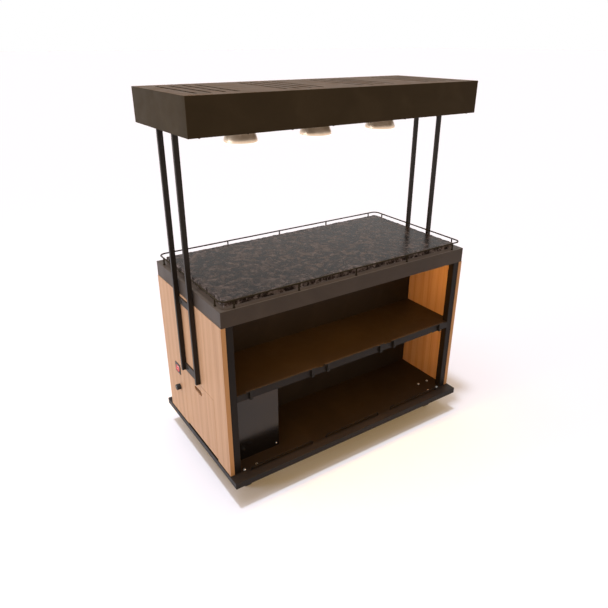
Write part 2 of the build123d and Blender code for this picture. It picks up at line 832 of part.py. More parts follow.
# Shelf: one sheet through both bays, a turned-down lip front and back with a return
shelf_low_z = shelf_z - shelf_lip_h
shelf_x = panel_in_x - shelf_side_gap
shelf_lip_x = upright_in_x - shelf_side_gap
shelf_side_y = upright_in_y - shelf_side_gap
with BuildPart() as shelf_pan:
    block((-shelf_x, shelf_x), (-shelf_side_y, shelf_side_y), (shelf_z - shelf_sheet, shelf_z))
    block((-shelf_lip_x, shelf_lip_x), (-counter_d / 2, counter_d / 2), (shelf_z - shelf_sheet, shelf_z))
    for sy in FACES.values():
        lip_ys = (sy * counter_d / 2, sy * (counter_d / 2 - shelf_sheet))
        block((-shelf_lip_x, shelf_lip_x), lip_ys, (shelf_low_z, shelf_z))
        return_ys = (sy * counter_d / 2, sy * (counter_d / 2 - shelf_return))
        block((-shelf_lip_x, shelf_lip_x), return_ys, (shelf_low_z, shelf_low_z + shelf_sheet))
    top_edges = shelf_pan.edges().filter_by(Axis.X).group_by(Axis.Z)[-1].sort_by(Axis.Y)
    fillet([top_edges[0], top_edges[-1]], bend)
save(shelf_pan, "shelf_pan")

# Shelf cleats: an angle on each side panel, under the shelf
with BuildPart() as shelf_cleats:
    cleat_top_z = shelf_z - shelf_sheet
    cleat_ys = (cleat_end_gap - upright_in_y, upright_in_y - cleat_end_gap)
    for sx in (-1, 1):
        block((sx * panel_in_x, sx * (panel_in_x - cleat_t)), cleat_ys, (cleat_top_z - cleat, cleat_top_z))
        block((sx * panel_in_x, sx * (panel_in_x - cleat)), cleat_ys, (cleat_top_z - cleat_t, cleat_top_z))
save(shelf_cleats, "shelf_cleats")

# Partitions: a board above the shelf and one below it, notched round the ring and the cleat
board_ys = (-partition_t / 2, partition_t / 2)
with BuildPart() as partitions:
    block((-panel_in_x, panel_in_x), board_ys, (shelf_z, ring_low_z))
    block((-upright_in_x, upright_in_x), board_ys, (shelf_z, pan_low_z))
    under_z = shelf_z - shelf_sheet
    block((house_out_x, panel_in_x), board_ys, (base_top_z, under_z - cleat))
    block((house_out_x, panel_in_x - cleat), board_ys, (base_top_z, under_z))
save(partitions, "partitions")

# Flat-bar stops: a bar above the shelf's lip on two brackets, three on each side of the counter
stop_run = 2 * (upright_in_x - stop_end_gap)
stop_l = (stop_run - (stop_count - 1) * stop_space) / stop_count
for face, sy in FACES.items():
    with BuildPart() as shelf_stops:
        stop_ys = (sy * counter_d / 2, sy * (counter_d / 2 + stop_out))
        stop_top_z = shelf_z + stop_rise
        for middle_x in spread(stop_count, stop_l + stop_space):
            xs = (middle_x - stop_l / 2, middle_x + stop_l / 2)
            block(xs, stop_ys, (stop_top_z - stop_bar_h, stop_top_z))
            for leg_x in spread(2, stop_l - 2 * stop_bracket_inset):
                leg_xs = (middle_x + leg_x - stop_bracket_w / 2, middle_x + leg_x + stop_bracket_w / 2)
                block(leg_xs, stop_ys, (shelf_low_z, stop_top_z))
        fillet(shelf_stops.edges().filter_by(Axis.X).group_by(Axis.Z)[-1], stop_edge)
    save(shelf_stops, f"shelf_stops_{face}")

# Wire stops: a low hoop with turned-down ends standing on the deck, three on each side
wire_run = 2 * (upright_in_x - wire_end_gap)
wire_span = (wire_run - (wire_count - 1) * wire_space) / wire_count
for face, sy in FACES.items():
    hoop_y = sy * (base_d / 2 - wire_edge_inset)
    hoop_z = base_top_z + wire_rise
    with BuildPart() as deck_wires:
        for middle_x in spread(wire_count, wire_span + wire_space):
            left_x = middle_x - wire_span / 2
            right_x = middle_x + wire_span / 2
            with BuildLine(Plane.XZ.offset(-hoop_y)) as hoop:
                FilletPolyline(
                    (left_x, base_top_z),
                    (left_x, hoop_z),
                    (right_x, hoop_z),
                    (right_x, base_top_z),
                    radius=wire_bend,
                )
            with BuildSketch(Plane(origin=hoop.line @ 0, z_dir=hoop.line % 0)):
                Circle(wire_r)
            sweep(path=hoop.line)
    save(deck_wires, f"deck_wires_{face}")

# Heater pan: a shallow sheet tray that sits on the upper ring
pan_x = panel_in_x - pan_gap
pan_y = upright_out_y - pan_gap
with BuildPart() as heater_pan:
    block((-pan_x, pan_x), (-pan_y, pan_y), (pan_low_z, pan_top_z))
    block(
        (-pan_x + pan_sheet, pan_x - pan_sheet),
        (-pan_y + pan_sheet, pan_y - pan_sheet),
        (pan_low_z + pan_sheet, pan_top_z),
        mode=Mode.SUBTRACT,
    )
save(heater_pan, "heater_pan")

# Insulation board: lies in the pan under the heating element
board_low_z = pan_low_z + pan_sheet
with BuildPart() as insulation_board:
    board_x = pan_x - pan_sheet - board_gap
    board_y = pan_y - pan_sheet - board_gap
    block((-board_x, board_x), (-board_y, board_y), (board_low_z, board_low_z + board_t))
save(insulation_board, "insulation_board")

# Heating element: one tube laid back and forth on the board
element_z = board_low_z + board_t + element_r
element_pitch = 2 * (pan_y - element_side_gap) / (element_runs - 1)
element_x = pan_x - element_end_gap - element_pitch / 2
run_ys = spread(element_runs, element_pitch)
with BuildPart() as heater_element:
    with BuildLine(Plane.XY.offset(element_z)) as element_path:
        for run, run_y in enumerate(run_ys):
            side = 1 if run % 2 == 0 else -1
            Line((-side * element_x, run_y), (side * element_x, run_y))
            if run < element_runs - 1:
                next_y = run_ys[run + 1]
                bulge_x = side * (element_x + element_pitch / 2)
                ThreePointArc(
                    (side * element_x, run_y),
                    (bulge_x, (run_y + next_y) / 2),
                    (side * element_x, next_y),
                )
    with BuildSketch(Plane(origin=(-element_x, run_ys[0], element_z), z_dir=(1, 0, 0))):
        Circle(element_r)
    sweep(path=element_path.wires()[0])
save(heater_element, "heater_element")

# Hot plate: lies on the pan's rim and carries the slab
with BuildPart() as hot_plate:
    block((-pan_x, pan_x), (-pan_y, pan_y), (pan_top_z, plate_top_z))
save(hot_plate, "hot_plate")

# Granite slab: stands through the frame's opening on the hot plate
with BuildPart() as granite_slab:
    slab_x = opening_x - slab_gap
    slab_y = opening_y - slab_gap
    block((-slab_x, slab_x), (-slab_y, slab_y), (plate_top_z, plate_top_z + slab_t))
    chamfer(granite_slab.faces().sort_by(Axis.Z)[-1].edges(), slab_edge)
save(granite_slab, "granite_slab")

# Top frame: fascia all round, flat lip, and a turned-down edge at the opening on the hot plate
with BuildPart() as top_frame:
    half_w, half_d = counter_w / 2, counter_d / 2
    block((-half_w, half_w), (-half_d, half_d), (fascia_low_z, lip_z))
    fillet(top_frame.edges().filter_by(Axis.Z), frame_sheet)
    fillet(top_frame.faces().sort_by(Axis.Z)[-1].edges(), bend)
    block(
        (-half_w + frame_sheet, half_w - frame_sheet),
        (-half_d + frame_sheet, half_d - frame_sheet),
        (fascia_low_z, lip_z - frame_sheet),
        mode=Mode.SUBTRACT,
    )
    turn_x = opening_x + frame_sheet
    turn_y = opening_y + frame_sheet
    block((-turn_x, turn_x), (-turn_y, turn_y), (plate_top_z, lip_z))
    block((-opening_x, opening_x), (-opening_y, opening_y), (plate_top_z, lip_z), mode=Mode.SUBTRACT)
save(top_frame, "top_frame")

# Gallery loop: a round-cornered wire rail above the lip
rail_x = counter_w / 2 - gallery_inset
rail_y = counter_d / 2 - gallery_inset
rail_z = lip_z + gallery_h
with BuildPart() as gallery_loop:
    with BuildLine(Plane.XY.offset(rail_z)) as rail_path:
        FilletPolyline((0, -rail_y), (rail_x, -rail_y), (rail_x, rail_y), (0, rail_y), radius=gallery_bend)
    with BuildSketch(Plane(origin=(0, -rail_y, rail_z), z_dir=(1, 0, 0))):
        Circle(gallery_r)
    sweep(path=rail_path.line)
    mirror(about=Plane.YZ)
save(gallery_loop, "gallery_loop")

# Gallery legs: short round legs with a ferrule on the lip, hollowed at the top to fit the loop
leg_pitch = 2 * (rail_x - gallery_leg_inset) / (gallery_front_legs - 1)
leg_places = [(leg_x, sy * rail_y) for leg_x in spread(gallery_front_legs, leg_pitch) for sy in (-1, 1)]
side_leg_y = rail_y - gallery_side_leg_inset
leg_places += [(sx * rail_x, sy * side_leg_y) for sx in (-1, 1) for sy in (-1, 1)]
with BuildPart() as gallery_legs:
    for leg_x, leg_y in leg_places:
        rod((leg_x, leg_y, lip_z), gallery_r, gallery_h)
        rod((leg_x, leg_y, lip_z), ferrule_r, ferrule_h)
    for sy in (-1, 1):
        rod((-rail_x, sy * rail_y, rail_z), gallery_r, 2 * rail_x, "x", mode=Mode.SUBTRACT)
    for sx in (-1, 1):
        rod((sx * rail_x, -rail_y, rail_z), gallery_r, 2 * rail_y, "y", mode=Mode.SUBTRACT)
save(gallery_legs, "gallery_legs")

# Canopy posts: a ladder of two tubes and two crossbars on each side panel, up to the canopy's top
post_top_z = canopy_top_z - canopy_sheet
crossbar_high_z = fascia_low_z - crossbar_high_drop
for name, sx in {"left": -1, "right": 1}.items():
    with BuildPart() as post_frame:
        post_xs = (sx * panel_out_x, sx * post_out_x)
        for post_y in spread(2, post_spacing):
            block(post_xs, (post_y - post_d / 2, post_y + post_d / 2), (post_foot_z, post_top_z))
        fillet(post_frame.edges().filter_by(Axis.Z), post_wall)
        bar_xs = (sx * panel_out_x, sx * (panel_out_x + crossbar_t))
        bar_ys = (-post_spacing / 2, post_spacing / 2)
        block(bar_xs, bar_ys, (post_foot_z, post_foot_z + crossbar_low_h))
        block(bar_xs, bar_ys, (crossbar_high_z - crossbar_high_h, crossbar_high_z))
        for post_y in spread(2, post_spacing):
            block(
                (sx * (panel_out_x + post_wall), sx * (post_out_x - post_wall)),
                (post_y - post_d / 2 + post_wall, post_y + post_d / 2 - post_wall),
                (post_foot_z + post_wall, post_top_z),
                mode=Mode.SUBTRACT,
            )
    save(post_frame, f"post_frame_{name}")

# Canopy shell: top and four sides in one folded sheet, an inward flange below, vent slots above
with BuildPart() as canopy_shell:
    half_w, half_d = canopy_w / 2, canopy_d / 2
    block((-half_w, half_w), (-half_d, half_d), (canopy_low_z, canopy_top_z))
    fillet(canopy_shell.edges(), bend)
    block(
        (-half_w + canopy_sheet, half_w - canopy_sheet),
        (-half_d + canopy_sheet, half_d - canopy_sheet),
        (canopy_low_z + canopy_sheet, canopy_top_z - canopy_sheet),
        mode=Mode.SUBTRACT,
    )
    block(
        (-half_w + canopy_flange, half_w - canopy_flange),
        (-half_d + canopy_flange, half_d - canopy_flange),
        (canopy_low_z, canopy_low_z + canopy_sheet),
        mode=Mode.SUBTRACT,
    )
    hole_out_x = post_out_x + post_hole_gap
    for sx in (-1, 1):
        for post_y in spread(2, post_spacing):
            block(
                (sx * (panel_out_x - post_hole_gap), sx * hole_out_x),
                (post_y - post_d / 2 - post_hole_gap, post_y + post_d / 2 + post_hole_gap),
                (canopy_low_z, canopy_low_z + canopy_sheet),
                mode=Mode.SUBTRACT,
            )
    vent_run = canopy_w - 2 * vent_end_gap - (vents_per_group - 1) * vent_pitch
    with BuildSketch(Plane.XY.offset(canopy_top_z - canopy_sheet)):
        for group_x in spread(vent_groups, vent_run / (vent_groups - 1)):
            for vent_x in spread(vents_per_group, vent_pitch):
                with Locations((group_x + vent_x, 0)):
                    SlotOverall(vent_l, vent_w, rotation=90)
    extrude(amount=canopy_sheet, mode=Mode.SUBTRACT)
save(canopy_shell, "canopy_shell")

# Canopy floor: a flat panel on the flange, open round the posts and the lamps
floor_low_z = canopy_low_z + canopy_sheet
lamp_xs = spread(lamp_count, (canopy_w - 2 * lamp_end_gap) / (lamp_count - 1))
collar_r = trim_in_r + trim_collar_t
with BuildPart() as canopy_floor:
    floor_x = canopy_w / 2 - canopy_sheet - floor_gap
    floor_y = canopy_d / 2 - canopy_sheet - floor_gap
    block((-floor_x, floor_x), (-floor_y, floor_y), (floor_low_z, floor_low_z + floor_sheet))
    for sx in (-1, 1):
        for post_y in spread(2, post_spacing):
            block(
                (sx * (panel_out_x - post_hole_gap), sx * hole_out_x),
                (post_y - post_d / 2 - post_hole_gap, post_y + post_d / 2 + post_hole_gap),
                (floor_low_z, floor_low_z + floor_sheet),
                mode=Mode.SUBTRACT,
            )
    for lamp_x in lamp_xs:
        rod((lamp_x, 0, floor_low_z), collar_r + trim_hole_gap, floor_sheet, mode=Mode.SUBTRACT)
save(canopy_floor, "canopy_floor")

# Lamp trims: a flat ring under the canopy floor with a short collar up through it
with BuildPart() as lamp_trims:
    for lamp_x in lamp_xs:
        rod((lamp_x, 0, floor_low_z - trim_t), trim_out_r, trim_t)
        rod((lamp_x, 0, floor_low_z - trim_t), collar_r, trim_t + trim_collar_h)
        rod((lamp_x, 0, floor_low_z - trim_t), trim_in_r, trim_t + trim_collar_h, mode=Mode.SUBTRACT)
save(lamp_trims, "lamp_trims")

# Heat lamps: glass reflector bulbs, a round-rimmed face below, a bowl that narrows to the neck
lamp_low_z = canopy_low_z - lamp_drop
lamp_end_z = lamp_low_z + lamp_h
neck_z = lamp_end_z - lamp_stem_h
belt_z = lamp_low_z + lamp_face_h + lamp_belt_h
with BuildPart() as lamp_bulbs:
    for lamp_x in lamp_xs:
        with BuildSketch(Plane.XZ):
            with BuildLine():
                bowl_start = (lamp_x + lamp_r, belt_z)
                neck_start = (lamp_x + lamp_neck_r, belt_z + lamp_bowl_h)
                Line((lamp_x, lamp_end_z), (lamp_x, lamp_low_z))
                Bezier(
                    (lamp_x, lamp_low_z),
                    (lamp_x + lamp_flat_r, lamp_low_z),
                    (lamp_x + lamp_r, lamp_low_z + lamp_rim_h),
                    (lamp_x + lamp_r, lamp_low_z + lamp_face_h),
                )
                Line((lamp_x + lamp_r, lamp_low_z + lamp_face_h), bowl_start)
                Bezier(
                    bowl_start,
                    (lamp_x + lamp_r, belt_z + lamp_bowl_rise),
                    (lamp_x + lamp_waist_r, belt_z + lamp_waist_h),
                    neck_start,
                )
                Line(neck_start, (lamp_x + lamp_neck_r, neck_z))
                stem_start = (lamp_x + lamp_stem_r, lamp_end_z - lamp_stem_h / 2)
                stem_end = (lamp_x + lamp_stem_r, lamp_end_z)
                Line((lamp_x + lamp_neck_r, neck_z), stem_start)
                Line(stem_start, stem_end)
                Line(stem_end, (lamp_x, lamp_end_z))
            make_face()
        revolve(axis=Axis((lamp_x, 0, 0), (0, 0, 1)))
save(lamp_bulbs, "lamp_bulbs")

# Lamp caps: the metal screw shells on the bulbs' stems
with BuildPart() as lamp_caps:
    for lamp_x in lamp_xs:
        rod((lamp_x, 0, lamp_end_z), cap_r, cap_h)
save(lamp_caps, "lamp_caps")

# Lamp holders: ceramic sockets round the caps, hung from the bridges
holder_low_z = lamp_end_z - holder_cover
holder_top_z = canopy_top_z - canopy_sheet - bridge_t
with BuildPart() as lamp_holders:
    for lamp_x in lamp_xs:
        rod((lamp_x, 0, holder_low_z), holder_r, holder_top_z - holder_low_z)
        well_h = holder_cover + cap_h + holder_gap
        rod((lamp_x, 0, holder_low_z), cap_r + holder_gap, well_h, mode=Mode.SUBTRACT)
save(lamp_holders, "lamp_holders")

# Lamp bridges: a flat strap under the canopy's top over each lamp
bridge_y = canopy_d / 2 - bridge_end_gap
with BuildPart() as lamp_bridges:
    for lamp_x in lamp_xs:
        block(
            (lamp_x - bridge_w / 2, lamp_x + bridge_w / 2),
            (-bridge_y, bridge_y),
            (holder_top_z, holder_top_z + bridge_t),
        )
save(lamp_bridges, "lamp_bridges")

# Light channels and their diffusers: under the heater pan inside the ring, and under the shelf
# inside the return of its lip, for the lower bay
light_x = upright_in_x - light_end_gap
light_seats = (
    (pan_low_z, upright_in_y - light_back),
    (shelf_z - shelf_sheet, counter_d / 2 - shelf_return - light_back),
)
with BuildPart() as light_channels:
    for seat_z, near_y in light_seats:
        for sy in FACES.values():
            block((-light_x, light_x), (sy * near_y, sy * (near_y - light_w)), (seat_z - light_h, seat_z))
save(light_channels, "light_channels")
with BuildPart() as light_diffusers:
    for seat_z, near_y in light_seats:
        for sy in FACES.values():
            xs = (diffuser_inset - light_x, light_x - diffuser_inset)
            ys = (sy * (near_y - diffuser_inset), sy * (near_y - light_w + diffuser_inset))
            block(xs, ys, (seat_z - light_h - diffuser_t, seat_z - light_h))
save(light_diffusers, "light_diffusers")
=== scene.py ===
import json
import logging
import math
from dataclasses import dataclass
from enum import Enum

import bmesh
import bpy
from mathutils import Matrix, Vector, noise


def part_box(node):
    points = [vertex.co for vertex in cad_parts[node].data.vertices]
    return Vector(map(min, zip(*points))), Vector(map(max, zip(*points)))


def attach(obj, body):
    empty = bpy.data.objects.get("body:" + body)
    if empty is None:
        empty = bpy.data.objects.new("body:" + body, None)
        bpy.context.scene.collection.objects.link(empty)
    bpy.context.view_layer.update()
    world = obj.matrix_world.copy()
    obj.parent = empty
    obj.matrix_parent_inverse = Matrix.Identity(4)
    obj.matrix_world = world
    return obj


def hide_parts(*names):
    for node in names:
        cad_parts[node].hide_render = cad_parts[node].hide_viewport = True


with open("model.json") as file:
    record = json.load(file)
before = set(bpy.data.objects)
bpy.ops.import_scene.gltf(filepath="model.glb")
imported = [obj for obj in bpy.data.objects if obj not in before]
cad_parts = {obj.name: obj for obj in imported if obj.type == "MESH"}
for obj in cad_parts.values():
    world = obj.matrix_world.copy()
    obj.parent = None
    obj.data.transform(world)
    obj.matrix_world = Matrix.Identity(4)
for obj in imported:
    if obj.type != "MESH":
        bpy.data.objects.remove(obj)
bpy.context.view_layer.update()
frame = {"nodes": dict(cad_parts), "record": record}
MM = 0.001
TAU = 2 * math.pi
MERGE = 1e-7
ON_FACE = 1e-6
EDGE_STEPS = 2
MIX_FACTOR, MIX_FIRST, MIX_SECOND, MIX_RESULT = 0, 6, 7, 2
THREE = (-1, 0, 1)
LAMP_PITCH = 333 * MM
LENS_LOW_Z = 1340 * MM
LENS_HIGH_Z = 1355 * MM
log = logging.getLogger("counter")

Colour = tuple[float, float, float]
Profile = list[tuple[float, float]]
Verts = list[bmesh.types.BMVert]
Socket = bpy.types.NodeSocket


class Axis(Enum):
    """A direction of the counter's own frame."""

    X = "X"
    Y = "Y"
    Z = "Z"

    @property
    def vector(self) -> Vector:
        """The unit vector along this direction."""
        return Vector([1.0 if self.value == name else 0.0 for name in "XYZ"])

    @property
    def upright(self) -> Matrix:
        """The turn that lays a shape made along Z along this direction."""
        return towards(self.vector)

    def turn(self, angle: float) -> Matrix:
        """A turn about this direction."""
        return Matrix.Rotation(angle, 4, self.value)


class Side(Enum):
    """The two ends of the counter."""

    LEFT = -1
    RIGHT = 1


class Face(Enum):
    """The two serving faces of the counter."""

    FRONT = -1
    BACK = 1


class Corner(Enum):
    """The four corners of the base, with their signs along X and Y."""

    FL = (-1, -1)
    FR = (1, -1)
    BL = (-1, 1)
    BR = (1, 1)


class Sum(Enum):
    """A sum that joins two values of a pattern."""

    PLUS = "ADD"
    TIMES = "MULTIPLY"
    LARGER = "MAXIMUM"
    POWER = "POWER"
    ROOT = "SQRT"
    SIZE = "ABSOLUTE"
    FOLD = "PINGPONG"


class Way(Enum):
    """A way of blending two colours."""

    MIX = "MIX"
    MULTIPLY = "MULTIPLY"


class CellValue(Enum):
    """What a pattern of cells hands over."""

    DISTANCE = "Distance"
    COLOUR = "Color"


class Outline(Enum):
    """The outline of a soft light."""

    RECTANGLE = "RECTANGLE"
    DISK = "DISK"


def towards(outward: Vector) -> Matrix:
    """The turn that lays a shape made along Z along a direction."""
    return outward.to_track_quat("Z", "Y").to_matrix().to_4x4()


def toned(colour: Colour, times: float, plus: float = 0.0) -> Colour:
    """A colour made paler or darker, and held at full white."""
    return tuple(min(1.0, part * times + plus) for part in colour)


def grey(level: float) -> Colour:
    """A neutral colour."""
    return (level, level, level)


def opaque(value: object) -> object:
    """A colour with full cover, or anything else as it is."""
    return (*value, 1.0) if isinstance(value, tuple) else value


class Wiring:
    """A node tree, with short calls to place its nodes and join them."""

    def __init__(self, tree: bpy.types.NodeTree) -> None:
        """Take the tree of a material or of the world."""
        self.tree = tree

    def add(
        self, kind: str, sockets: dict[str | int, object] | None = None, **settings: object
    ) -> bpy.types.Node:
        """Place one node.

        Args:
            kind: the node's type.
            sockets: input names with a value or with the output that feeds them.
            settings: the node's own settings.

        Returns:
            The new node.
        """
        node = self.tree.nodes.new(kind)
        for key, value in settings.items():
            setattr(node, key, value)
        for key, value in (sockets or {}).items():
            self.feed(node.inputs[key], value)
        return node

    def feed(self, socket: Socket, value: object) -> None:
        """Set a socket to a value, or join it to the output that feeds it.

        Args:
            socket: the socket.
            value: its value, or an output.
        """
        if isinstance(value, bpy.types.NodeSocket):
            self.tree.links.new(value, socket)
        else:
            socket.default_value = value

    def maths(self, operation: Sum, first: object, second: object = 0.0) -> Socket:
        """Join two values by one sum.

        Args:
            operation: the sum.
            first: the first value, or an output.
            second: the second value, or an output.

        Returns:
            The sum's result.
        """
        node = self.add("ShaderNodeMath", operation=operation.value)
        self.feed(node.inputs[0], first)
        self.feed(node.inputs[1], second)
        return node.outputs[0]

    def plus(self, first: object, second: object) -> Socket:
        """Two values added."""
        return self.maths(Sum.PLUS, first, second)

    def times(self, first: object, second: object) -> Socket:
        """Two values multiplied."""
        return self.maths(Sum.TIMES, first, second)

    def larger(self, first: object, second: object) -> Socket:
        """The larger of two values."""
        return self.maths(Sum.LARGER, first, second)

    def between(
        self, value: Socket, low: float, high: float, to: tuple[float, float] = (0.0, 1.0)
    ) -> Socket:
        """Spread a value from one range over another, and hold it at the ends.

        Args:
            value: the value.
            low: where the first range starts.
            high: where the first range ends.
            to: the second range.

        Returns:
            The value in the second range.
        """
        ranges = {"From Min": low, "From Max": high, "To Min": to[0], "To Max": to[1]}
        return self.add("ShaderNodeMapRange", {"Value": value, **ranges}).outputs[0]

    def blend(self, factor: object, first: object, second: object, way: Way = Way.MIX) -> Socket:
        """Blend two colours.

        Args:
            factor: how much of the second colour shows.
            first: the first colour, or an output.
            second: the second colour, or an output.
            way: the way of blending.

        Returns:
            The blended colour.
        """
        node = self.add("ShaderNodeMix", data_type="RGBA", blend_type=way.value)
        for key, value in ((MIX_FACTOR, factor), (MIX_FIRST, first), (MIX_SECOND, second)):
            self.feed(node.inputs[key], opaque(value))
        return node.outputs[MIX_RESULT]

    def seen(self) -> Socket:
        """Tell what is looked at from what only lights the counter.

        Returns:
            1 for the camera, a reflection or glass, and 0 otherwise.
        """
        path = self.add("ShaderNodeLightPath").outputs
        seen = self.larger(path["Is Camera Ray"], path["Is Glossy Ray"])
        return self.larger(seen, path["Is Transmission Ray"])


class Board(Wiring):
    """A material's node tree, with the patterns that the finishes are mixed from."""

    def __init__(self, name: str) -> None:
        """Start a material with its main shader.

        Args:
            name: the material's name.
        """
        self.material = bpy.data.materials.new(name)
        self.material.use_nodes = True
        super().__init__(self.material.node_tree)
        self.shader = self.tree.nodes["Principled BSDF"]
        self.place = self.add("ShaderNodeTexCoord").outputs["Object"]

    def stretched(self, scale: tuple[float, float, float]) -> Socket:
        """The object's own coordinates, scaled along each direction."""
        return self.add("ShaderNodeMapping", {"Vector": self.place, "Scale": scale}).outputs[0]

    def part(self, vector: Socket, axis: Axis) -> Socket:
        """One part of a vector."""
        return self.add("ShaderNodeSeparateXYZ", {0: vector}).outputs[axis.value]

    def height(self) -> Socket:
        """The height above the floor."""
        return self.part(self.place, Axis.Z)

    def facing(self, axis: Axis) -> Socket:
        """How far a face looks along a direction."""
        return self.part(self.add("ShaderNodeNewGeometry").outputs["True Normal"], axis)

    def cloud(
        self,
        scale: float,
        detail: float,
        stretch: tuple[float, float, float] = (1.0, 1.0, 1.0),
        warp: float = 0.0,
    ) -> Socket:
        """A soft random pattern.

        Args:
            scale: how many features there are in a metre.
            detail: how many finer layers it has.
            stretch: extra scale along each direction.
            warp: how far it is bent by itself.

        Returns:
            The pattern's value, about 0.5 on average.
        """
        sockets = {"Scale": scale, "Detail": detail, "Distortion": warp}
        sockets["Vector"] = self.stretched(stretch)
        return self.add("ShaderNodeTexNoise", sockets).outputs[0]

    def cells(self, scale: float, output: CellValue = CellValue.DISTANCE) -> Socket:
        """A pattern of irregular cells."""
        sockets = {"Vector": self.place, "Scale": scale}
        return self.add("ShaderNodeTexVoronoi", sockets).outputs[output.value]

    def tones(self, value: Socket, *stops: tuple[float, Colour]) -> Socket:
        """Turn a value into a colour by a few stops.

        Args:
            value: the value.
            stops: where each colour stands, and the colour.

        Returns:
            The colour.
        """
        node = self.add("ShaderNodeValToRGB", {"Fac": value})
        elements = node.color_ramp.elements
        while len(elements) < len(stops):
            elements.new(0.5)
        for element, (position, colour) in zip(elements, stops):
            element.position = position
            element.color = opaque(colour)
        return node.outputs[0]

    def relief(
        self, height: Socket, depth: float, strength: float, under: Socket | None = None
    ) -> Socket:
        """Raise the surface by a pattern.

        Args:
            height: the pattern's value.
            depth: the relief's depth in metres.
            strength: how much of it shows.
            under: a relief that lies under this one.

        Returns:
            The surface direction for the shader.
        """
        sockets = {"Height": height, "Distance": depth, "Strength": strength}
        if under is not None:
            sockets["Normal"] = under
        return self.add("ShaderNodeBump", sockets).outputs[0]

    def worn_edges(self, radius: float) -> Socket:
        """Find the outer edges, where paint wears first.

        Args:
            radius: how wide a worn edge is.

        Returns:
            A value that rises on the edges and falls to 0 on flat faces.
        """
        rounded = self.add("ShaderNodeBevel", {"Radius": radius}, samples=4).outputs[0]
        flat = self.add("ShaderNodeNewGeometry").outputs["Normal"]
        meet = self.add("ShaderNodeVectorMath", {0: rounded, 1: flat}, operation="DOT_PRODUCT")
        return self.between(meet.outputs["Value"], 0.97, 0.78)

    def finish(self, **sockets: object) -> bpy.types.Material:
        """Feed the main shader and hand over the material.

        Args:
            sockets: the shader's inputs, with a low line in place of each space.

        Returns:
            The finished material.
        """
        for key, value in sockets.items():
            self.feed(self.shader.inputs[key.replace("_", " ")], opaque(value))
        return self.material


@dataclass(frozen=True)
class PowderCoat:
    """Baked powder paint on sheet steel: fine orange peel, faint dust with painted sheen on top,
    thin worn edges.
    """

    name: str
    colour: Colour
    roughness: float
    peel: float = 0.00012
    wear: float = 0.35
    shine: float = 0.14
    # how much paler upward faces get: faint dust together with painted sheen
    pale_film: float = 0.1
    dust_and_sheen_colour: Colour = (0.16, 0.085, 0.04)

    def material(self) -> bpy.types.Material:
        """Build the finish.

        Returns:
            The finished material.
        """
        board = Board(self.name)
        paler = toned(self.colour, 1.25, 0.003)
        darker = toned(self.colour, 0.88)
        mottle = board.cloud(scale=7.0, detail=5.0, warp=0.6)
        colour = board.tones(mottle, (0.25, darker), (0.5, self.colour), (0.85, paler))
        speck = board.cloud(scale=900.0, detail=2.0)
        colour = board.blend(board.between(speck, 0.6, 0.72, to=(0.0, 0.25)), colour, paler)
        # painted sheen and dust: faces that look upwards are blended, in cloudy patches, towards a
        # pale brown
        up = board.between(board.facing(Axis.Z), 0.6, 0.95)
        dust_and_sheen_on_top = board.cloud(scale=16.0, detail=6.0, warp=0.8)
        dust_and_sheen_on_top = board.between(dust_and_sheen_on_top, 0.3, 0.7, to=(0.55 * self.pale_film, 1.25 * self.pale_film))
        colour = board.blend(board.times(up, dust_and_sheen_on_top), colour, self.dust_and_sheen_colour)
        chips = board.between(board.cloud(scale=60.0, detail=4.0), 0.45, 0.7)
        chips = board.times(board.worn_edges(0.0012), chips)
        bare = toned(self.colour, 2.2, 0.05)
        colour = board.blend(board.times(chips, self.wear), colour, bare)
        smudge = board.cloud(scale=11.0, detail=4.0, warp=1.2)
        smudge = board.between(smudge, 0.35, 0.75, to=(-0.05, 0.07))
        sag = board.relief(board.cloud(scale=4.0, detail=1.0), depth=0.0006, strength=0.4)
        skin = board.cloud(scale=650.0, detail=2.0)
        return board.finish(
            Base_Color=colour,
            Roughness=board.plus(smudge, self.roughness),
            Normal=board.relief(skin, depth=self.peel, strength=0.5, under=sag),
            Specular_IOR_Level=self.shine,
        )


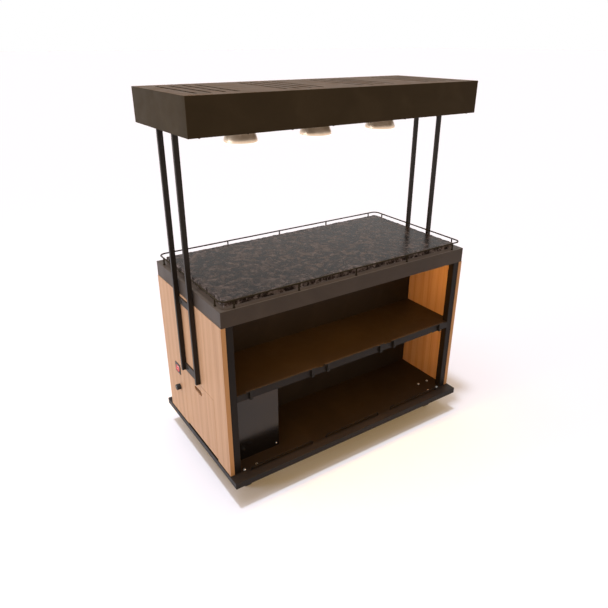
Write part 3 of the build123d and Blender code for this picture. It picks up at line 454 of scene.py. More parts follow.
@dataclass(frozen=True)
class Veneer:
    """Light wood with upright grain: long streaks, fine dark pores, warm edges, matt lacquer."""

    name: str
    pale: Colour
    middle: Colour
    dark: Colour
    edge_tone: Colour

    def material(self) -> bpy.types.Material:
        """Build the finish.

        Returns:
            The finished material.
        """
        board = Board(self.name)
        sockets = {
            "Vector": board.stretched((5.0, 5.0, 0.35)),
            "Scale": 1.3,
            "Distortion": 6.0,
            "Detail": 5.0,
            "Detail Scale": 1.5,
        }
        bands = board.add("ShaderNodeTexWave", sockets, bands_direction="Y").outputs["Fac"]
        streaks = board.cloud(scale=1.0, detail=6.0, stretch=(170.0, 170.0, 2.4), warp=0.2)
        lines = board.cloud(scale=1.0, detail=4.0, stretch=(420.0, 420.0, 3.2), warp=0.15)
        figure = board.plus(board.times(bands, 0.12), board.times(streaks, 0.5))
        figure = board.plus(figure, board.times(lines, 0.38))
        colour = board.tones(figure, (0.3, self.dark), (0.49, self.middle), (0.68, self.pale))
        pore = board.cloud(scale=1.0, detail=3.0, stretch=(1100.0, 1100.0, 26.0))
        pore = board.between(pore, 0.62, 0.7)
        colour = board.blend(board.times(pore, 0.22), colour, toned(self.dark, 0.6))
        drift = board.between(board.cloud(scale=2.2, detail=2.0), 0.35, 0.7, to=(0.95, 1.04))
        shade = board.add("ShaderNodeCombineColor", {0: drift, 1: drift, 2: drift}).outputs[0]
        colour = board.blend(1.0, colour, shade, Way.MULTIPLY)
        # the faces that look along Y, the panels' front and back edges, turn a warmer, more orange
        # tone
        edge = board.between(board.maths(Sum.SIZE, board.facing(Axis.Y)), 0.75, 0.9)
        edge_colour = board.blend(board.times(streaks, 0.5), self.edge_tone, self.middle)
        colour = board.blend(edge, colour, edge_colour)
        grain = board.relief(streaks, depth=0.0003, strength=0.35)
        return board.finish(
            Base_Color=colour,
            Roughness=board.between(streaks, 0.3, 0.7, to=(0.44, 0.56)),
            Normal=board.relief(pore, depth=-0.0002, strength=0.5, under=grain),
            Specular_IOR_Level=0.3,
        )


@dataclass(frozen=True)
class Granite:
    """Black stone with pale patches and mica flecks: honed above, split at the edges."""

    name: str
    polished_z: float

    def material(self) -> bpy.types.Material:
        """Build the finish.

        Returns:
            The finished material.
        """
        board = Board(self.name)
        cloud = board.cloud(scale=18.0, detail=7.0, warp=1.8)
        veins = board.cloud(scale=44.0, detail=8.0, stretch=(1.0, 0.8, 1.0), warp=1.2)
        grains = board.cells(420.0, CellValue.COLOUR)
        tint = board.add("ShaderNodeSeparateColor", {0: grains}).outputs[0]
        mass = board.tones(
            board.plus(board.times(tint, 0.25), board.times(cloud, 0.8)),
            (0.4, (0.008, 0.004, 0.0025)),
            (0.55, (0.022, 0.013, 0.009)),
            (0.66, (0.075, 0.052, 0.046)),
            (0.8, (0.19, 0.15, 0.145)),
        )
        patch = board.times(board.between(veins, 0.49, 0.64), board.between(cloud, 0.38, 0.56))
        colour = board.blend(board.times(patch, 0.5), mass, (0.19, 0.15, 0.16))
        swarm = board.between(board.cloud(scale=90.0, detail=2.0), 0.53, 0.6)
        flecks = board.times(board.between(board.cells(330.0), 0.18, 0.1), swarm)
        colour = board.blend(board.times(flecks, 0.7), colour, (0.6, 0.54, 0.46))
        edge = board.between(board.height(), self.polished_z - 0.0006, self.polished_z - 0.002)
        split = board.blend(board.between(veins, 0.46, 0.62), colour, (0.3, 0.25, 0.25))
        honed = board.between(cloud, 0.3, 0.7, to=(0.2, 0.34))
        chipped = board.times(board.cloud(scale=220.0, detail=5.0), edge)
        fine = board.relief(tint, depth=0.00003, strength=0.3)
        return board.finish(
            Base_Color=board.blend(board.times(edge, 0.7), colour, split),
            Roughness=board.plus(honed, board.times(edge, 0.35)),
            Normal=board.relief(chipped, depth=0.002, strength=0.9, under=fine),
            Specular_IOR_Level=0.08,
        )


@dataclass(frozen=True)
class BareMetal:
    """Unpainted metal, rolled or turned: fine lines, a cloudy tint and finger marks."""

    name: str
    colour: Colour
    roughness: float
    lines: tuple[float, float, float] = (1.0, 1.0, 1.0)
    bloom: float = 0.25

    def material(self) -> bpy.types.Material:
        """Build the finish.

        Returns:
            The finished material.
        """
        board = Board(self.name)
        cloud = board.cloud(scale=26.0, detail=5.0, warp=1.0)
        duller = toned(self.colour, 1.0 - self.bloom)
        brighter = toned(self.colour, 1.1)
        colour = board.tones(cloud, (0.3, duller), (0.6, self.colour), (0.85, brighter))
        scratch = board.cloud(scale=300.0, detail=4.0, stretch=self.lines)
        stain = board.between(board.cloud(scale=80.0, detail=6.0), 0.62, 0.78, to=(0.0, 0.5))
        scuff = board.between(scratch, 0.3, 0.7, to=(-0.07, 0.09))
        return board.finish(
            Base_Color=board.blend(stain, colour, duller),
            Roughness=board.plus(scuff, self.roughness),
            Normal=board.relief(scratch, depth=0.00006, strength=0.5),
            Metallic=1.0,
        )


@dataclass(frozen=True)
class Moulded:
    """Moulded plastic: spark-eroded grain, slight flow marks, polished or dull."""

    name: str
    colour: Colour
    roughness: float
    grain: float = 0.00008

    def material(self) -> bpy.types.Material:
        """Build the finish.

        Returns:
            The finished material.
        """
        board = Board(self.name)
        flow = board.cloud(scale=18.0, detail=3.0, warp=1.5)
        darker = toned(self.colour, 0.85)
        paler = toned(self.colour, 1.12, 0.003)
        rubbed = board.between(board.cloud(scale=45.0, detail=4.0), 0.3, 0.7, to=(-0.05, 0.08))
        sparks = board.cloud(scale=1500.0, detail=2.0)
        return board.finish(
            Base_Color=board.tones(flow, (0.3, darker), (0.55, self.colour), (0.8, paler)),
            Roughness=board.plus(rubbed, self.roughness),
            Normal=board.relief(sparks, depth=self.grain, strength=0.6),
            Specular_IOR_Level=0.45,
        )


@dataclass(frozen=True)
class Rubber:
    """Tyre rubber: matt, finely pitted, and dustier towards the floor."""

    name: str
    tread_z: float

    def material(self) -> bpy.types.Material:
        """Build the finish.

        Returns:
            The finished material.
        """
        board = Board(self.name)
        pale_film = board.between(board.cloud(scale=120.0, detail=5.0, warp=0.5), 0.45, 0.75)
        low = board.between(board.height(), self.tread_z, 0.0, to=(0.15, 0.8))
        pits = board.cloud(scale=500.0, detail=4.0)
        clean, dusty = (0.018, 0.018, 0.019), (0.11, 0.1, 0.09)
        return board.finish(
            Base_Color=board.blend(board.times(pale_film, low), clean, dusty),
            Roughness=board.between(pale_film, 0.0, 1.0, to=(0.68, 0.9)),
            Normal=board.relief(pits, depth=0.0002, strength=0.5),
            Specular_IOR_Level=0.3,
        )


@dataclass(frozen=True)
class Glow:
    """A lit face: clear red or opal plastic with light behind it."""

    name: str
    colour: Colour
    light: Colour
    strength: float
    roughness: float
    mottle: float = 60.0

    def material(self) -> bpy.types.Material:
        """Build the finish.

        Returns:
            The finished material.
        """
        board = Board(self.name)
        cloud = board.cloud(scale=self.mottle, detail=3.0)
        skin = board.cloud(scale=800.0, detail=2.0)
        return board.finish(
            Base_Color=self.colour,
            Roughness=self.roughness,
            Normal=board.relief(skin, depth=0.0001, strength=0.4),
            Emission_Color=board.tones(cloud, (0.3, toned(self.light, 0.82)), (0.7, self.light)),
            Emission_Strength=self.strength,
        )


@dataclass(frozen=True)
class MirroredGlass:
    """A bulb's bowl: glass silvered inside, cloudy, with the filament's warmth low down."""

    name: str
    colour: Colour
    rim_z: float
    warm_from: float = 9 * MM
    warm_to: float = 1 * MM

    def material(self) -> bpy.types.Material:
        """Build the finish.

        Returns:
            The finished material.
        """
        board = Board(self.name)
        haze = board.cloud(scale=22.0, detail=4.0, warp=0.8)
        dents = board.cloud(scale=40.0, detail=2.0)
        cool_z, warm_z = self.rim_z + self.warm_from, self.rim_z + self.warm_to
        return board.finish(
            Base_Color=board.tones(haze, (0.3, toned(self.colour, 0.8)), (0.7, self.colour)),
            Metallic=0.75,
            Roughness=board.between(haze, 0.3, 0.7, to=(0.3, 0.42)),
            Normal=board.relief(dents, depth=0.0003, strength=0.3),
            Emission_Color=(1.0, 0.62, 0.3),
            Emission_Strength=board.between(board.height(), cool_z, warm_z, to=(0.05, 0.3)),
        )


@dataclass(frozen=True)
class LensGlass:
    """A bulb's ribbed lens: lit from behind, hottest in its middle and in a band round its side."""

    name: str
    low_z: float
    high_z: float
    pitch: float
    hot_r: float = 52 * MM
    hottest_r: float = 20 * MM

    def material(self) -> bpy.types.Material:
        """Build the finish.

        Returns:
            The finished material.
        """
        board = Board(self.name)
        x, y, z = board.add("ShaderNodeSeparateXYZ", {0: board.place}).outputs
        band = board.tones(
            board.between(z, self.low_z, self.high_z),
            (0.0, grey(0.3)),
            (0.45, grey(1.0)),
            (0.7, grey(0.9)),
            (0.95, grey(0.0)),
        )
        aside = board.maths(Sum.FOLD, x, self.pitch / 2)
        square = board.plus(board.maths(Sum.POWER, aside, 2.0), board.maths(Sum.POWER, y, 2.0))
        middle = board.between(board.maths(Sum.ROOT, square), self.hot_r, self.hottest_r)
        uneven = board.between(board.cloud(scale=25.0, detail=3.0), 0.3, 0.7, to=(0.8, 1.0))
        heat = board.times(board.larger(band, middle), uneven)
        skin = board.cloud(scale=800.0, detail=2.0)
        return board.finish(
            Base_Color=(0.2, 0.17, 0.14),
            Roughness=0.3,
            Normal=board.relief(skin, depth=0.0001, strength=0.4),
            Emission_Color=board.tones(
                heat, (0.0, (0.8, 0.58, 0.38)), (0.3, (0.9, 0.83, 0.74)), (0.7, (1.0, 0.98, 0.93))
            ),
            Emission_Strength=board.between(heat, 0.3, 0.9, to=(0.85, 1.3)),
        )


@dataclass(frozen=True)
class Porcelain:
    """White glazed ceramic with a warm body and a few dark specks."""

    name: str

    def material(self) -> bpy.types.Material:
        """Build the finish.

        Returns:
            The finished material.
        """
        board = Board(self.name)
        specks = board.times(board.between(board.cells(320.0), 0.1, 0.05), 0.5)
        glaze = board.cloud(scale=90.0, detail=3.0)
        return board.finish(
            Base_Color=board.blend(specks, (0.83, 0.8, 0.73), (0.3, 0.24, 0.18)),
            Roughness=board.between(board.cloud(scale=30.0, detail=3.0), 0.3, 0.7, to=(0.12, 0.24)),
            Normal=board.relief(glaze, depth=0.0002, strength=0.3),
        )


@dataclass(frozen=True)
class FibreBoard:
    """Pressed mineral fibre: pale, matt and matted."""

    name: str

    def material(self) -> bpy.types.Material:
        """Build the finish.

        Returns:
            The finished material.
        """
        board = Board(self.name)
        mat = board.cloud(scale=240.0, detail=6.0, warp=2.0)
        return board.finish(
            Base_Color=board.tones(
                mat, (0.3, (0.5, 0.46, 0.38)), (0.6, (0.74, 0.71, 0.63)), (0.85, (0.84, 0.82, 0.76))
            ),
            Roughness=0.95,
            Normal=board.relief(mat, depth=0.0008, strength=0.8),
        )


@dataclass(frozen=True)
class Head:
    """A screw's head: its size, and its crown, edge, wall and recess as shares of that size."""

    radius: float
    height: float
    sides: int = 24
    crown: float = 0.82
    edge: float = 0.35
    wall: float = 0.28
    recess: float = 0.5


@dataclass
class Piece:
    """A mesh in the making, kept in metres in the counter's own frame."""

    name: str

    def __post_init__(self) -> None:
        """Open an empty mesh."""
        self.shape = bmesh.new()

    def since(self, before: set[bmesh.types.BMVert]) -> Verts:
        """The vertices that were made since a set of them was noted."""
        return [vert for vert in self.shape.verts if vert not in before]

    def top_since(self, before: set[bmesh.types.BMVert]) -> bmesh.types.BMFace:
        """The highest of the faces that were made since a set of vertices was noted."""
        made = (face for face in self.shape.faces if set(face.verts).isdisjoint(before))
        return max(made, key=lambda face: face.calc_center_median().z)

    def place(
        self,
        geometry: Verts,
        scale: tuple[float, float, float] | Vector | None = None,
        turn: Matrix | None = None,
        to: Vector | None = None,
    ) -> None:
        """Scale, turn and move some vertices, in that order.

        Args:
            geometry: the vertices.
            scale: the scale along each direction.
            turn: the turn.
            to: the way that they move.
        """
        if scale is not None:
            bmesh.ops.scale(self.shape, verts=geometry, vec=scale)
        if turn is not None:
            bmesh.ops.transform(self.shape, verts=geometry, matrix=turn)
        if to is not None:
            bmesh.ops.translate(self.shape, verts=geometry, vec=to)

    def block(self, low: Vector, high: Vector, soften: float = 0.0) -> None:
        """Add a square block.

        Args:
            low: its lowest corner.
            high: its highest corner.
            soften: the radius of its edges.
        """
        made = bmesh.ops.create_cube(self.shape, size=1.0)["verts"]
        self.place(made, scale=high - low, to=(low + high) / 2)
        if soften:
            self.round_off(list({edge for vert in made for edge in vert.link_edges}), soften)

    def round_off(self, edges: list[bmesh.types.BMEdge], radius: float) -> None:
        """Round some edges.

        Args:
            edges: the edges.
            radius: how far the rounding reaches from each edge.
        """
        bmesh.ops.bevel(
            self.shape,
            geom=edges,
            offset=radius,
            offset_type="OFFSET",
            segments=EDGE_STEPS,
            profile=0.5,
            affect="EDGES",
            clamp_overlap=True,
            material=-1,
        )

    def disc(
        self,
        centre: Vector,
        radius: float,
        height: float,
        along: Axis,
        sides: int,
        soften: float = 0.0,
    ) -> None:
        """Add a round or many-sided bar.

        Args:
            centre: the middle of the bar.
            radius: from the axis to a corner.
            height: its length along the axis.
            along: the axis.
            sides: how many sides it has.
            soften: the radius of its end edges.
        """
        before = set(self.shape.verts)
        made = bmesh.ops.create_cone(
            self.shape, cap_ends=True, segments=sides, radius1=radius, radius2=radius, depth=height
        )["verts"]
        if soften:
            edges = {edge for vert in made for edge in vert.link_edges}
            level = [e for e in edges if abs(e.verts[0].co.z - e.verts[1].co.z) < MERGE]
            self.round_off(level, soften)
        self.place(self.since(before), turn=along.upright, to=centre)

    def turned(self, profile: Profile, centre: Vector, along: Axis, steps: int) -> None:
        """Add a body of rotation.

        Args:
            profile: radius and height pairs from one end to the other.
            centre: where height 0 is.
            along: the axis.
            steps: how many steps round it.
        """
        before = set(self.shape.verts)
        points = [self.shape.verts.new((radius, 0.0, height)) for radius, height in profile]
        edges = [self.shape.edges.new(pair) for pair in zip(points, points[1:])]
        bmesh.ops.spin(
            self.shape,
            geom=points + edges,
            cent=(0, 0, 0),
            axis=(0, 0, 1),
            dvec=(0, 0, 0),
            angle=TAU,
            steps=steps,
            use_merge=True,
            use_duplicate=False,
        )
        bmesh.ops.remove_doubles(self.shape, verts=self.since(before), dist=MERGE)
        self.place(self.since(before), turn=along.upright, to=centre)

    def screw(self, centre: Vector, head: Head, outward: Vector) -> None:
        """Add a domed screw head with a round recess.

        Args:
            centre: the middle of its seat.
            head: the head's size.
            outward: the way the head faces.
        """
        before = set(self.shape.verts)
        bmesh.ops.create_cone(
            self.shape,
            cap_ends=True,
            segments=head.sides,
            radius1=head.radius,
            radius2=head.radius * head.crown,
            depth=head.height,
        )
        self.round_off(list(self.top_since(before).edges), head.height * head.edge)
        top = self.top_since(before)
        bmesh.ops.inset_region(self.shape, faces=[top], thickness=head.radius * head.wall)
        sunk = bmesh.ops.extrude_face_region(self.shape, geom=[top])["geom"]
        floor = [item for item in sunk if isinstance(item, bmesh.types.BMVert)]
        bmesh.ops.delete(self.shape, geom=[top], context="FACES_ONLY")
        self.place(floor, to=Vector((0, 0, -head.height * head.recess)))
        seat = centre + outward.normalized() * (head.height / 2)
        self.place(self.since(before), turn=towards(outward), to=seat)

    def deliver(
        self,
        finish: bpy.types.Material,
        body: str,
        instead_of: tuple[str, ...] = (),
        smooth: float = 35.0,
    ) -> None:
        """Close the mesh, dress it and fix it to a body of the counter.

        Args:
            finish: its material.
            body: the body that it moves with.
            instead_of: the nodes that it stands for.
            smooth: edges below this angle, in degrees, look round.
        """
        bmesh.ops.remove_doubles(self.shape, verts=self.shape.verts, dist=MERGE)
        bmesh.ops.recalc_face_normals(self.shape, faces=self.shape.faces)
        limit = math.radians(smooth)
        for part in self.shape.faces:
            part.smooth = True
        for edge in self.shape.edges:
            edge.smooth = edge.is_manifold and edge.calc_face_angle() < limit
        mesh = bpy.data.meshes.new(self.name)
        self.shape.to_mesh(mesh)
        self.shape.free()
        mesh.materials.append(finish)
        made = bpy.data.objects.new(self.name, mesh)
        bpy.context.scene.collection.objects.link(made)
        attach(made, body)
        if instead_of:
            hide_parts(*instead_of)
        log.info("%s: %d faces on %s", self.name, len(mesh.polygons), body)


class Finishes:
    """Every finish of the counter, each built once, by the record's slot."""

    def __init__(self) -> None:
        """Mix the finishes."""
        coats = [
            # on upward faces the pale film is faint dust with painted sheen; the canopy's strong
            # film is mostly painted sheen on its top
            PowderCoat(
                "canopy_coat",
                (0.052, 0.038, 0.0235),
                0.5,
                shine=0.03,
                pale_film=0.5,
                dust_and_sheen_colour=(0.16, 0.083, 0.042),
            ),
            PowderCoat("canopy_floor_coat", (0.05, 0.036, 0.026), 0.5),
            PowderCoat("frame_coat", (0.07, 0.054, 0.046), 0.44, pale_film=0.06),
            PowderCoat("base_coat", (0.0135, 0.0105, 0.0095), 0.44, pale_film=0.03, shine=0.12),
            PowderCoat("upright_coat", (0.016, 0.012, 0.01), 0.42, shine=0.1),
            PowderCoat("post_coat", (0.024, 0.0185, 0.015), 0.42, shine=0.16),
            PowderCoat("shelf_coat", (0.017, 0.0125, 0.01), 0.42, pale_film=0.02),
            PowderCoat("stop_coat", (0.02, 0.0165, 0.014), 0.4),
            PowderCoat("wire_coat", (0.014, 0.011, 0.009), 0.6, wear=0.0, shine=0.05, pale_film=0.0),
            PowderCoat("gallery_coat", (0.03, 0.022, 0.0125), 0.6, wear=0.0, shine=0.05, pale_film=0.0),
            PowderCoat("housing_coat", (0.009, 0.0075, 0.0065), 0.18, shine=0.35),
            PowderCoat("partition_coat", (0.014, 0.011, 0.009), 0.5),
            PowderCoat("tube_steel", (0.03, 0.028, 0.027), 0.5),
            Veneer(
                "wood",
                pale=(0.645, 0.4, 0.258),
                middle=(0.59, 0.35, 0.218),
                dark=(0.46, 0.242, 0.13),
                edge_tone=(0.66, 0.34, 0.14),
            ),
            Granite("granite", polished_z=868 * MM),
            BareMetal("hot_plate_steel", (0.6, 0.59, 0.57), 0.34, lines=(0.2, 8.0, 8.0)),
            BareMetal("pan_steel", grey(0.62), 0.4, lines=(0.5, 2.0, 2.0), bloom=0.35),
            BareMetal("element_steel", (0.26, 0.24, 0.24), 0.4),
            BareMetal("zinc", (0.66, 0.67, 0.69), 0.34, bloom=0.3),
            BareMetal("fork_zinc", (0.62, 0.63, 0.65), 0.32, bloom=0.3),
            BareMetal("bolt_zinc", (0.78, 0.77, 0.74), 0.26),
            BareMetal("pivot_steel", grey(0.62), 0.25, lines=(0.2, 4.0, 4.0)),
            BareMetal("strike_steel", grey(0.6), 0.35),
            BareMetal("cap_brass", (0.62, 0.48, 0.26), 0.3),
            BareMetal("bridge_steel", grey(0.6), 0.42, bloom=0.35),
            BareMetal("trim_steel", (0.68, 0.67, 0.65), 0.22, bloom=0.15),
            BareMetal("channel_aluminium", grey(0.7), 0.36, lines=(0.1, 4.0, 4.0)),
            FibreBoard("board_fibre"),
            Porcelain("holder_ceramic"),
            Moulded("hub_plastic", (0.12, 0.12, 0.125), 0.48),
            Rubber("tyre", tread_z=75 * MM),
            Moulded("pedal_plastic", (0.42, 0.03, 0.02), 0.42),
            Moulded("catch_plastic", (0.7, 0.68, 0.62), 0.5),
            Moulded("bezel_plastic", (0.024, 0.022, 0.021), 0.5, grain=0.00012),
            Glow(
                "rocker_red",
                (0.42, 0.016, 0.01),
                light=(0.9, 0.13, 0.11),
                strength=0.28,
                roughness=0.2,
            ),
            Moulded("thermostat_plastic", (0.08, 0.08, 0.085), 0.5),
            Moulded("knob_plastic", grey(0.014), 0.46, grain=0.00012),
            Moulded("driver_plastic", (0.7, 0.7, 0.68), 0.45),
            Moulded("terminal_plastic", (0.74, 0.7, 0.6), 0.5),
            Moulded("gland_plastic", (0.03, 0.03, 0.03), 0.5),
            Glow(
                "diffuser",
                (0.8, 0.7, 0.55),
                light=(1.0, 0.6, 0.22),
                strength=2.2,
                roughness=0.5,
                mottle=9.0,
            ),
        ]
        self.by_slot = {coat.name: coat.material() for coat in coats}
        bowl = MirroredGlass("lamp_bowl", (0.74, 0.6, 0.48), rim_z=LENS_HIGH_Z)
        self.by_slot["lamp_glass"] = bowl.material()
        self.lamp_face = LensGlass("lamp_face", LENS_LOW_Z, LENS_HIGH_Z, LAMP_PITCH).material()
        self.mark = Moulded("mark_white", (0.8, 0.79, 0.75), 0.4).material()
        log.info("%d finishes", len(self.by_slot))

    def dress(self) -> None:
        """Give every node of the counter its own finish."""
        slots = {part["node"]: part["material_slot"] for part in frame["record"]["subparts"]}
        for name, node in frame["nodes"].items():
            finish = self.by_slot[slots[name]]
            if not node.data.materials:
                node.data.materials.append(finish)
            for index in range(len(node.data.materials)):
                node.data.materials[index] = finish
            log.info("%s: %s", name, finish.name)


@dataclass
class Slab:
    """The granite slab: honed top, split edges that stand in the frame's opening.

    The three roughnesses are pairs: how many bumps there are in a metre, and their share.
    """

    finishes: Finishes
    cell: float = 9 * MM
    layers: float = 2.2
    lip_z: float = 846 * MM
    fade: float = 4 * MM
    bite: float = 3.6 * MM
    mean: float = 0.42
    coarse: tuple[float, float] = (55.0, 0.45)
    fine: tuple[float, float] = (210.0, 0.25)
    shell: tuple[float, float] = (85.0, 0.2)
    top_share: float = 0.6
    smooth: float = 20.0

    def build(self) -> None:
        """Cut the slab and split its edges."""
        low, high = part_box("granite_slab")
        piece = Piece("slab")
        piece.block(low, high)
        shape = piece.shape
        for axis, along in enumerate(Axis):
            step = self.cell / self.layers if along is Axis.Z else self.cell
            span = high[axis] - low[axis]
            cuts = int(span / step)
            for number in range(1, cuts):
                point = Vector(low)
                point[axis] += span * number / cuts
                bmesh.ops.bisect_plane(
                    shape,
                    geom=shape.verts[:] + shape.edges[:] + shape.faces[:],
                    plane_co=point,
                    plane_no=along.vector,
                    dist=MERGE,
                )
        for vert in shape.verts:
            self.split(vert, low, high)
        stone = self.finishes.by_slot["granite"]
        piece.deliver(stone, "counter", ("granite_slab",), smooth=self.smooth)

    def split(self, vert: bmesh.types.BMVert, low: Vector, high: Vector) -> None:
        """Move one point of the slab's side inwards, as a chisel leaves it.

        Args:
            vert: the point.
            low: the slab's lowest corner.
            high: the slab's highest corner.
        """
        place = vert.co.copy()
        rise = max(0.0, min(1.0, (place.z - self.lip_z) / self.fade))
        if rise == 0.0:
            return
        rough = self.mean
        for scale, share in (self.coarse, self.fine):
            rough += share * noise.noise(place * scale)
        scale, share = self.shell
        rough += share * noise.cell(place * scale)
        depth = self.bite * rise * max(0.0, rough)
        on_side = False
        for axis in (0, 1):
            for wall, inwards in ((low, 1), (high, -1)):
                if abs(place[axis] - wall[axis]) < ON_FACE:
                    vert.co[axis] += inwards * depth
                    on_side = True
        if on_side and abs(place.z - high.z) < ON_FACE:
            vert.co.z -= self.top_share * depth


@dataclass
class HeatLamps:
    """Three reflector bulbs: a mirrored glass bowl on a stem, with a lit, ribbed face below."""

    finishes: Finishes
    pitch: float = LAMP_PITCH
    radius: float = 62.5 * MM
    low_z: float = LENS_LOW_Z
    face_h: float = 15 * MM
    flat_r: float = 53 * MM
    rim_h: float = 3 * MM
    belt_h: float = 1 * MM
    seat_gap: float = 0.4 * MM
    bowl_h: float = 110 * MM
    bowl_rise: float = 22 * MM
    waist_r: float = 30 * MM
    waist_h: float = 60 * MM
    neck_r: float = 19 * MM
    neck_drop: float = 13 * MM
    stem_r: float = 13 * MM
    stem_drop: float = 6.5 * MM
    height: float = 158 * MM
    top_gap: float = 0.2 * MM
    ribs: int = 9
    rib_depth: float = 0.5 * MM
    rib_steps: int = 5
    bowl_steps: int = 16
    round_steps: int = 64

    def build(self) -> None:
        """Blow the bowls and set the faces."""
        bowl = Piece("lamp_bowls")
        face = Piece("lamp_faces")
        for number in THREE:
            foot = Vector((number * self.pitch, 0.0, self.low_z))
            bowl.turned(self.bowl_profile(), foot, Axis.Z, self.round_steps)
            face.turned(self.face_profile(), foot, Axis.Z, self.round_steps)
        glass = self.finishes.by_slot["lamp_glass"]
        bowl.deliver(glass, "counter", ("lamp_bulbs",))
        face.deliver(self.finishes.lamp_face, "counter")

    @staticmethod
    def bend(controls: tuple[Vector, ...], steps: int) -> Profile:
        """Points along a curve with four control points.

        Args:
            controls: the four control points, each a radius and a height.
            steps: how many stretches the curve is split in.

        Returns:
            The points from the first control point to the last.
        """
        points = []
        for step in range(steps + 1):
            t = step / steps
            shares = ((1 - t) ** 3, 3 * t * (1 - t) ** 2, 3 * t * t * (1 - t), t**3)
            pulls = (share * control for share, control in zip(shares, controls))
            point = sum(pulls, Vector((0.0, 0.0)))
            points.append((point.x, point.y))
        return points

    def bowl_profile(self) -> Profile:
        """Draw the bowl, from its seat on the face up to the stem.

        Returns:
            Radius and height pairs.
        """
        belt_z = self.face_h + self.belt_h
        seat_z = self.face_h + self.seat_gap
        controls = (
            Vector((self.radius, belt_z)),
            Vector((self.radius, belt_z + self.bowl_rise)),
            Vector((self.waist_r, belt_z + self.waist_h)),
            Vector((self.neck_r, belt_z + self.bowl_h)),
        )
        top = self.height - self.top_gap
        neck = [
            (self.neck_r, self.height - self.neck_drop),
            (self.stem_r, self.height - self.stem_drop),
        ]
        seat = [(0.0, seat_z), (self.radius, seat_z)]
        return seat + self.bend(controls, self.bowl_steps) + neck + [(self.stem_r, top), (0.0, top)]

    def face_profile(self) -> Profile:
        """Draw the lit face: a flat middle with rings pressed in it, and a round rim.

        Returns:
            Radius and height pairs.
        """
        controls = (
            Vector((0.0, 0.0)),
            Vector((self.flat_r, 0.0)),
            Vector((self.radius, self.rim_h)),
            Vector((self.radius, self.face_h)),
        )
        points = []
        for radius, height in self.bend(controls, self.ribs * self.rib_steps):
            part = radius / self.radius
            ring = self.rib_depth * (1 - math.cos(TAU * part * self.ribs)) / 2
            points.append((radius, height + ring * max(0.0, 1 - part**3)))
        return points + [(0.0, self.face_h)]


@dataclass
class CanopyTrim:
    """Screws of the canopy: along the flange below it and round each lamp's ring."""

    finishes: Finishes
    low_z: float = 1415 * MM
    half_w: float = 637 * MM
    half_d: float = 241 * MM
    inset: float = 8 * MM
    end_gap: float = 40 * MM
    per_side: int = 8
    flange_head: Head = Head(4 * MM, 2.2 * MM)
    lamp_pitch: float = LAMP_PITCH
    ring_r: float = 73 * MM
    per_ring: int = 3
    ring_start: float = 0.25
    ring_head: Head = Head(3 * MM, 1.8 * MM)

    def build(self) -> None:
        """Set the screws."""
        piece = Piece("canopy_screws")
        down = Vector((0, 0, -1))
        for number in range(self.per_side):
            x = (number / (self.per_side - 1) * 2 - 1) * (self.half_w - self.end_gap)
            for face in Face:
                seat = Vector((x, face.value * (self.half_d - self.inset), self.low_z))
                piece.screw(seat, self.flange_head, down)
        for lamp in THREE:
            for step in range(self.per_ring):
                turn = TAU * (step + self.ring_start) / self.per_ring
                x = lamp * self.lamp_pitch + self.ring_r * math.cos(turn)
                seat = Vector((x, self.ring_r * math.sin(turn), self.low_z))
                piece.screw(seat, self.ring_head, down)
        coat = self.finishes.by_slot["canopy_floor_coat"]
        piece.deliver(coat, "counter")


@dataclass
class PostScrews:
    """Button-head screws that hold the posts' crossbars to the wood panels."""

    finishes: Finishes
    bar_x: float = 608 * MM
    low_z: float = 455 * MM
    high_z: float = 761 * MM
    spread: float = 38 * MM
    head: Head = Head(6 * MM, 3 * MM)

    def build(self) -> None:
        """Set four screws on each side."""
        piece = Piece("crossbar_screws")
        for side in Side:
            outward = Vector((side.value, 0, 0))
            for z in (self.low_z, self.high_z):
                for y in (-self.spread, self.spread):
                    piece.screw(Vector((side.value * self.bar_x, y, z)), self.head, outward)
        piece.deliver(self.finishes.by_slot["post_coat"], "counter")


@dataclass
class StopScrews:
    """Small screws that hold the shelf stops' brackets to the shelf's lip."""

    finishes: Finishes
    pitch: float = 358 * MM
    spacing: float = 281 * MM
    face_y: float = 312 * MM
    z: float = 471 * MM
    head: Head = Head(3.4 * MM, 1.6 * MM)

    def build(self) -> None:
        """Set one screw on every bracket."""
        piece = Piece("bracket_screws")
        for face in Face:
            outward = Vector((0, face.value, 0))
            for stop in THREE:
                for end in (-0.5, 0.5):
                    x = stop * self.pitch + end * self.spacing
                    seat = Vector((x, face.value * self.face_y, self.z))
                    piece.screw(seat, self.head, outward)
        piece.deliver(self.finishes.by_slot["stop_coat"], "counter")


@dataclass
class HousingScrews:
    """Screws in the service housing's two side walls and its end wall."""

    finishes: Finishes
    out_x: float = -340 * MM
    in_x: float = -584 * MM
    half_d: float = 238 * MM
    low_z: float = 130 * MM
    high_z: float = 458 * MM
    inset: float = 14 * MM
    head: Head = Head(3.5 * MM, 2 * MM)

    def build(self) -> None:
        """Set the screws near the corners of each wall."""
        piece = Piece("housing_screws")
        for z in (self.low_z + self.inset, self.high_z - self.inset):
            for face in Face:
                outward = Vector((0, face.value, 0))
                for x in (self.in_x + self.inset, self.out_x - self.inset):
                    piece.screw(Vector((x, face.value * self.half_d, z)), self.head, outward)
                end = Vector((self.out_x, face.value * (self.half_d - self.inset), z))
                piece.screw(end, self.head, Axis.X.vector)
        piece.deliver(self.finishes.by_slot["zinc"], "counter")


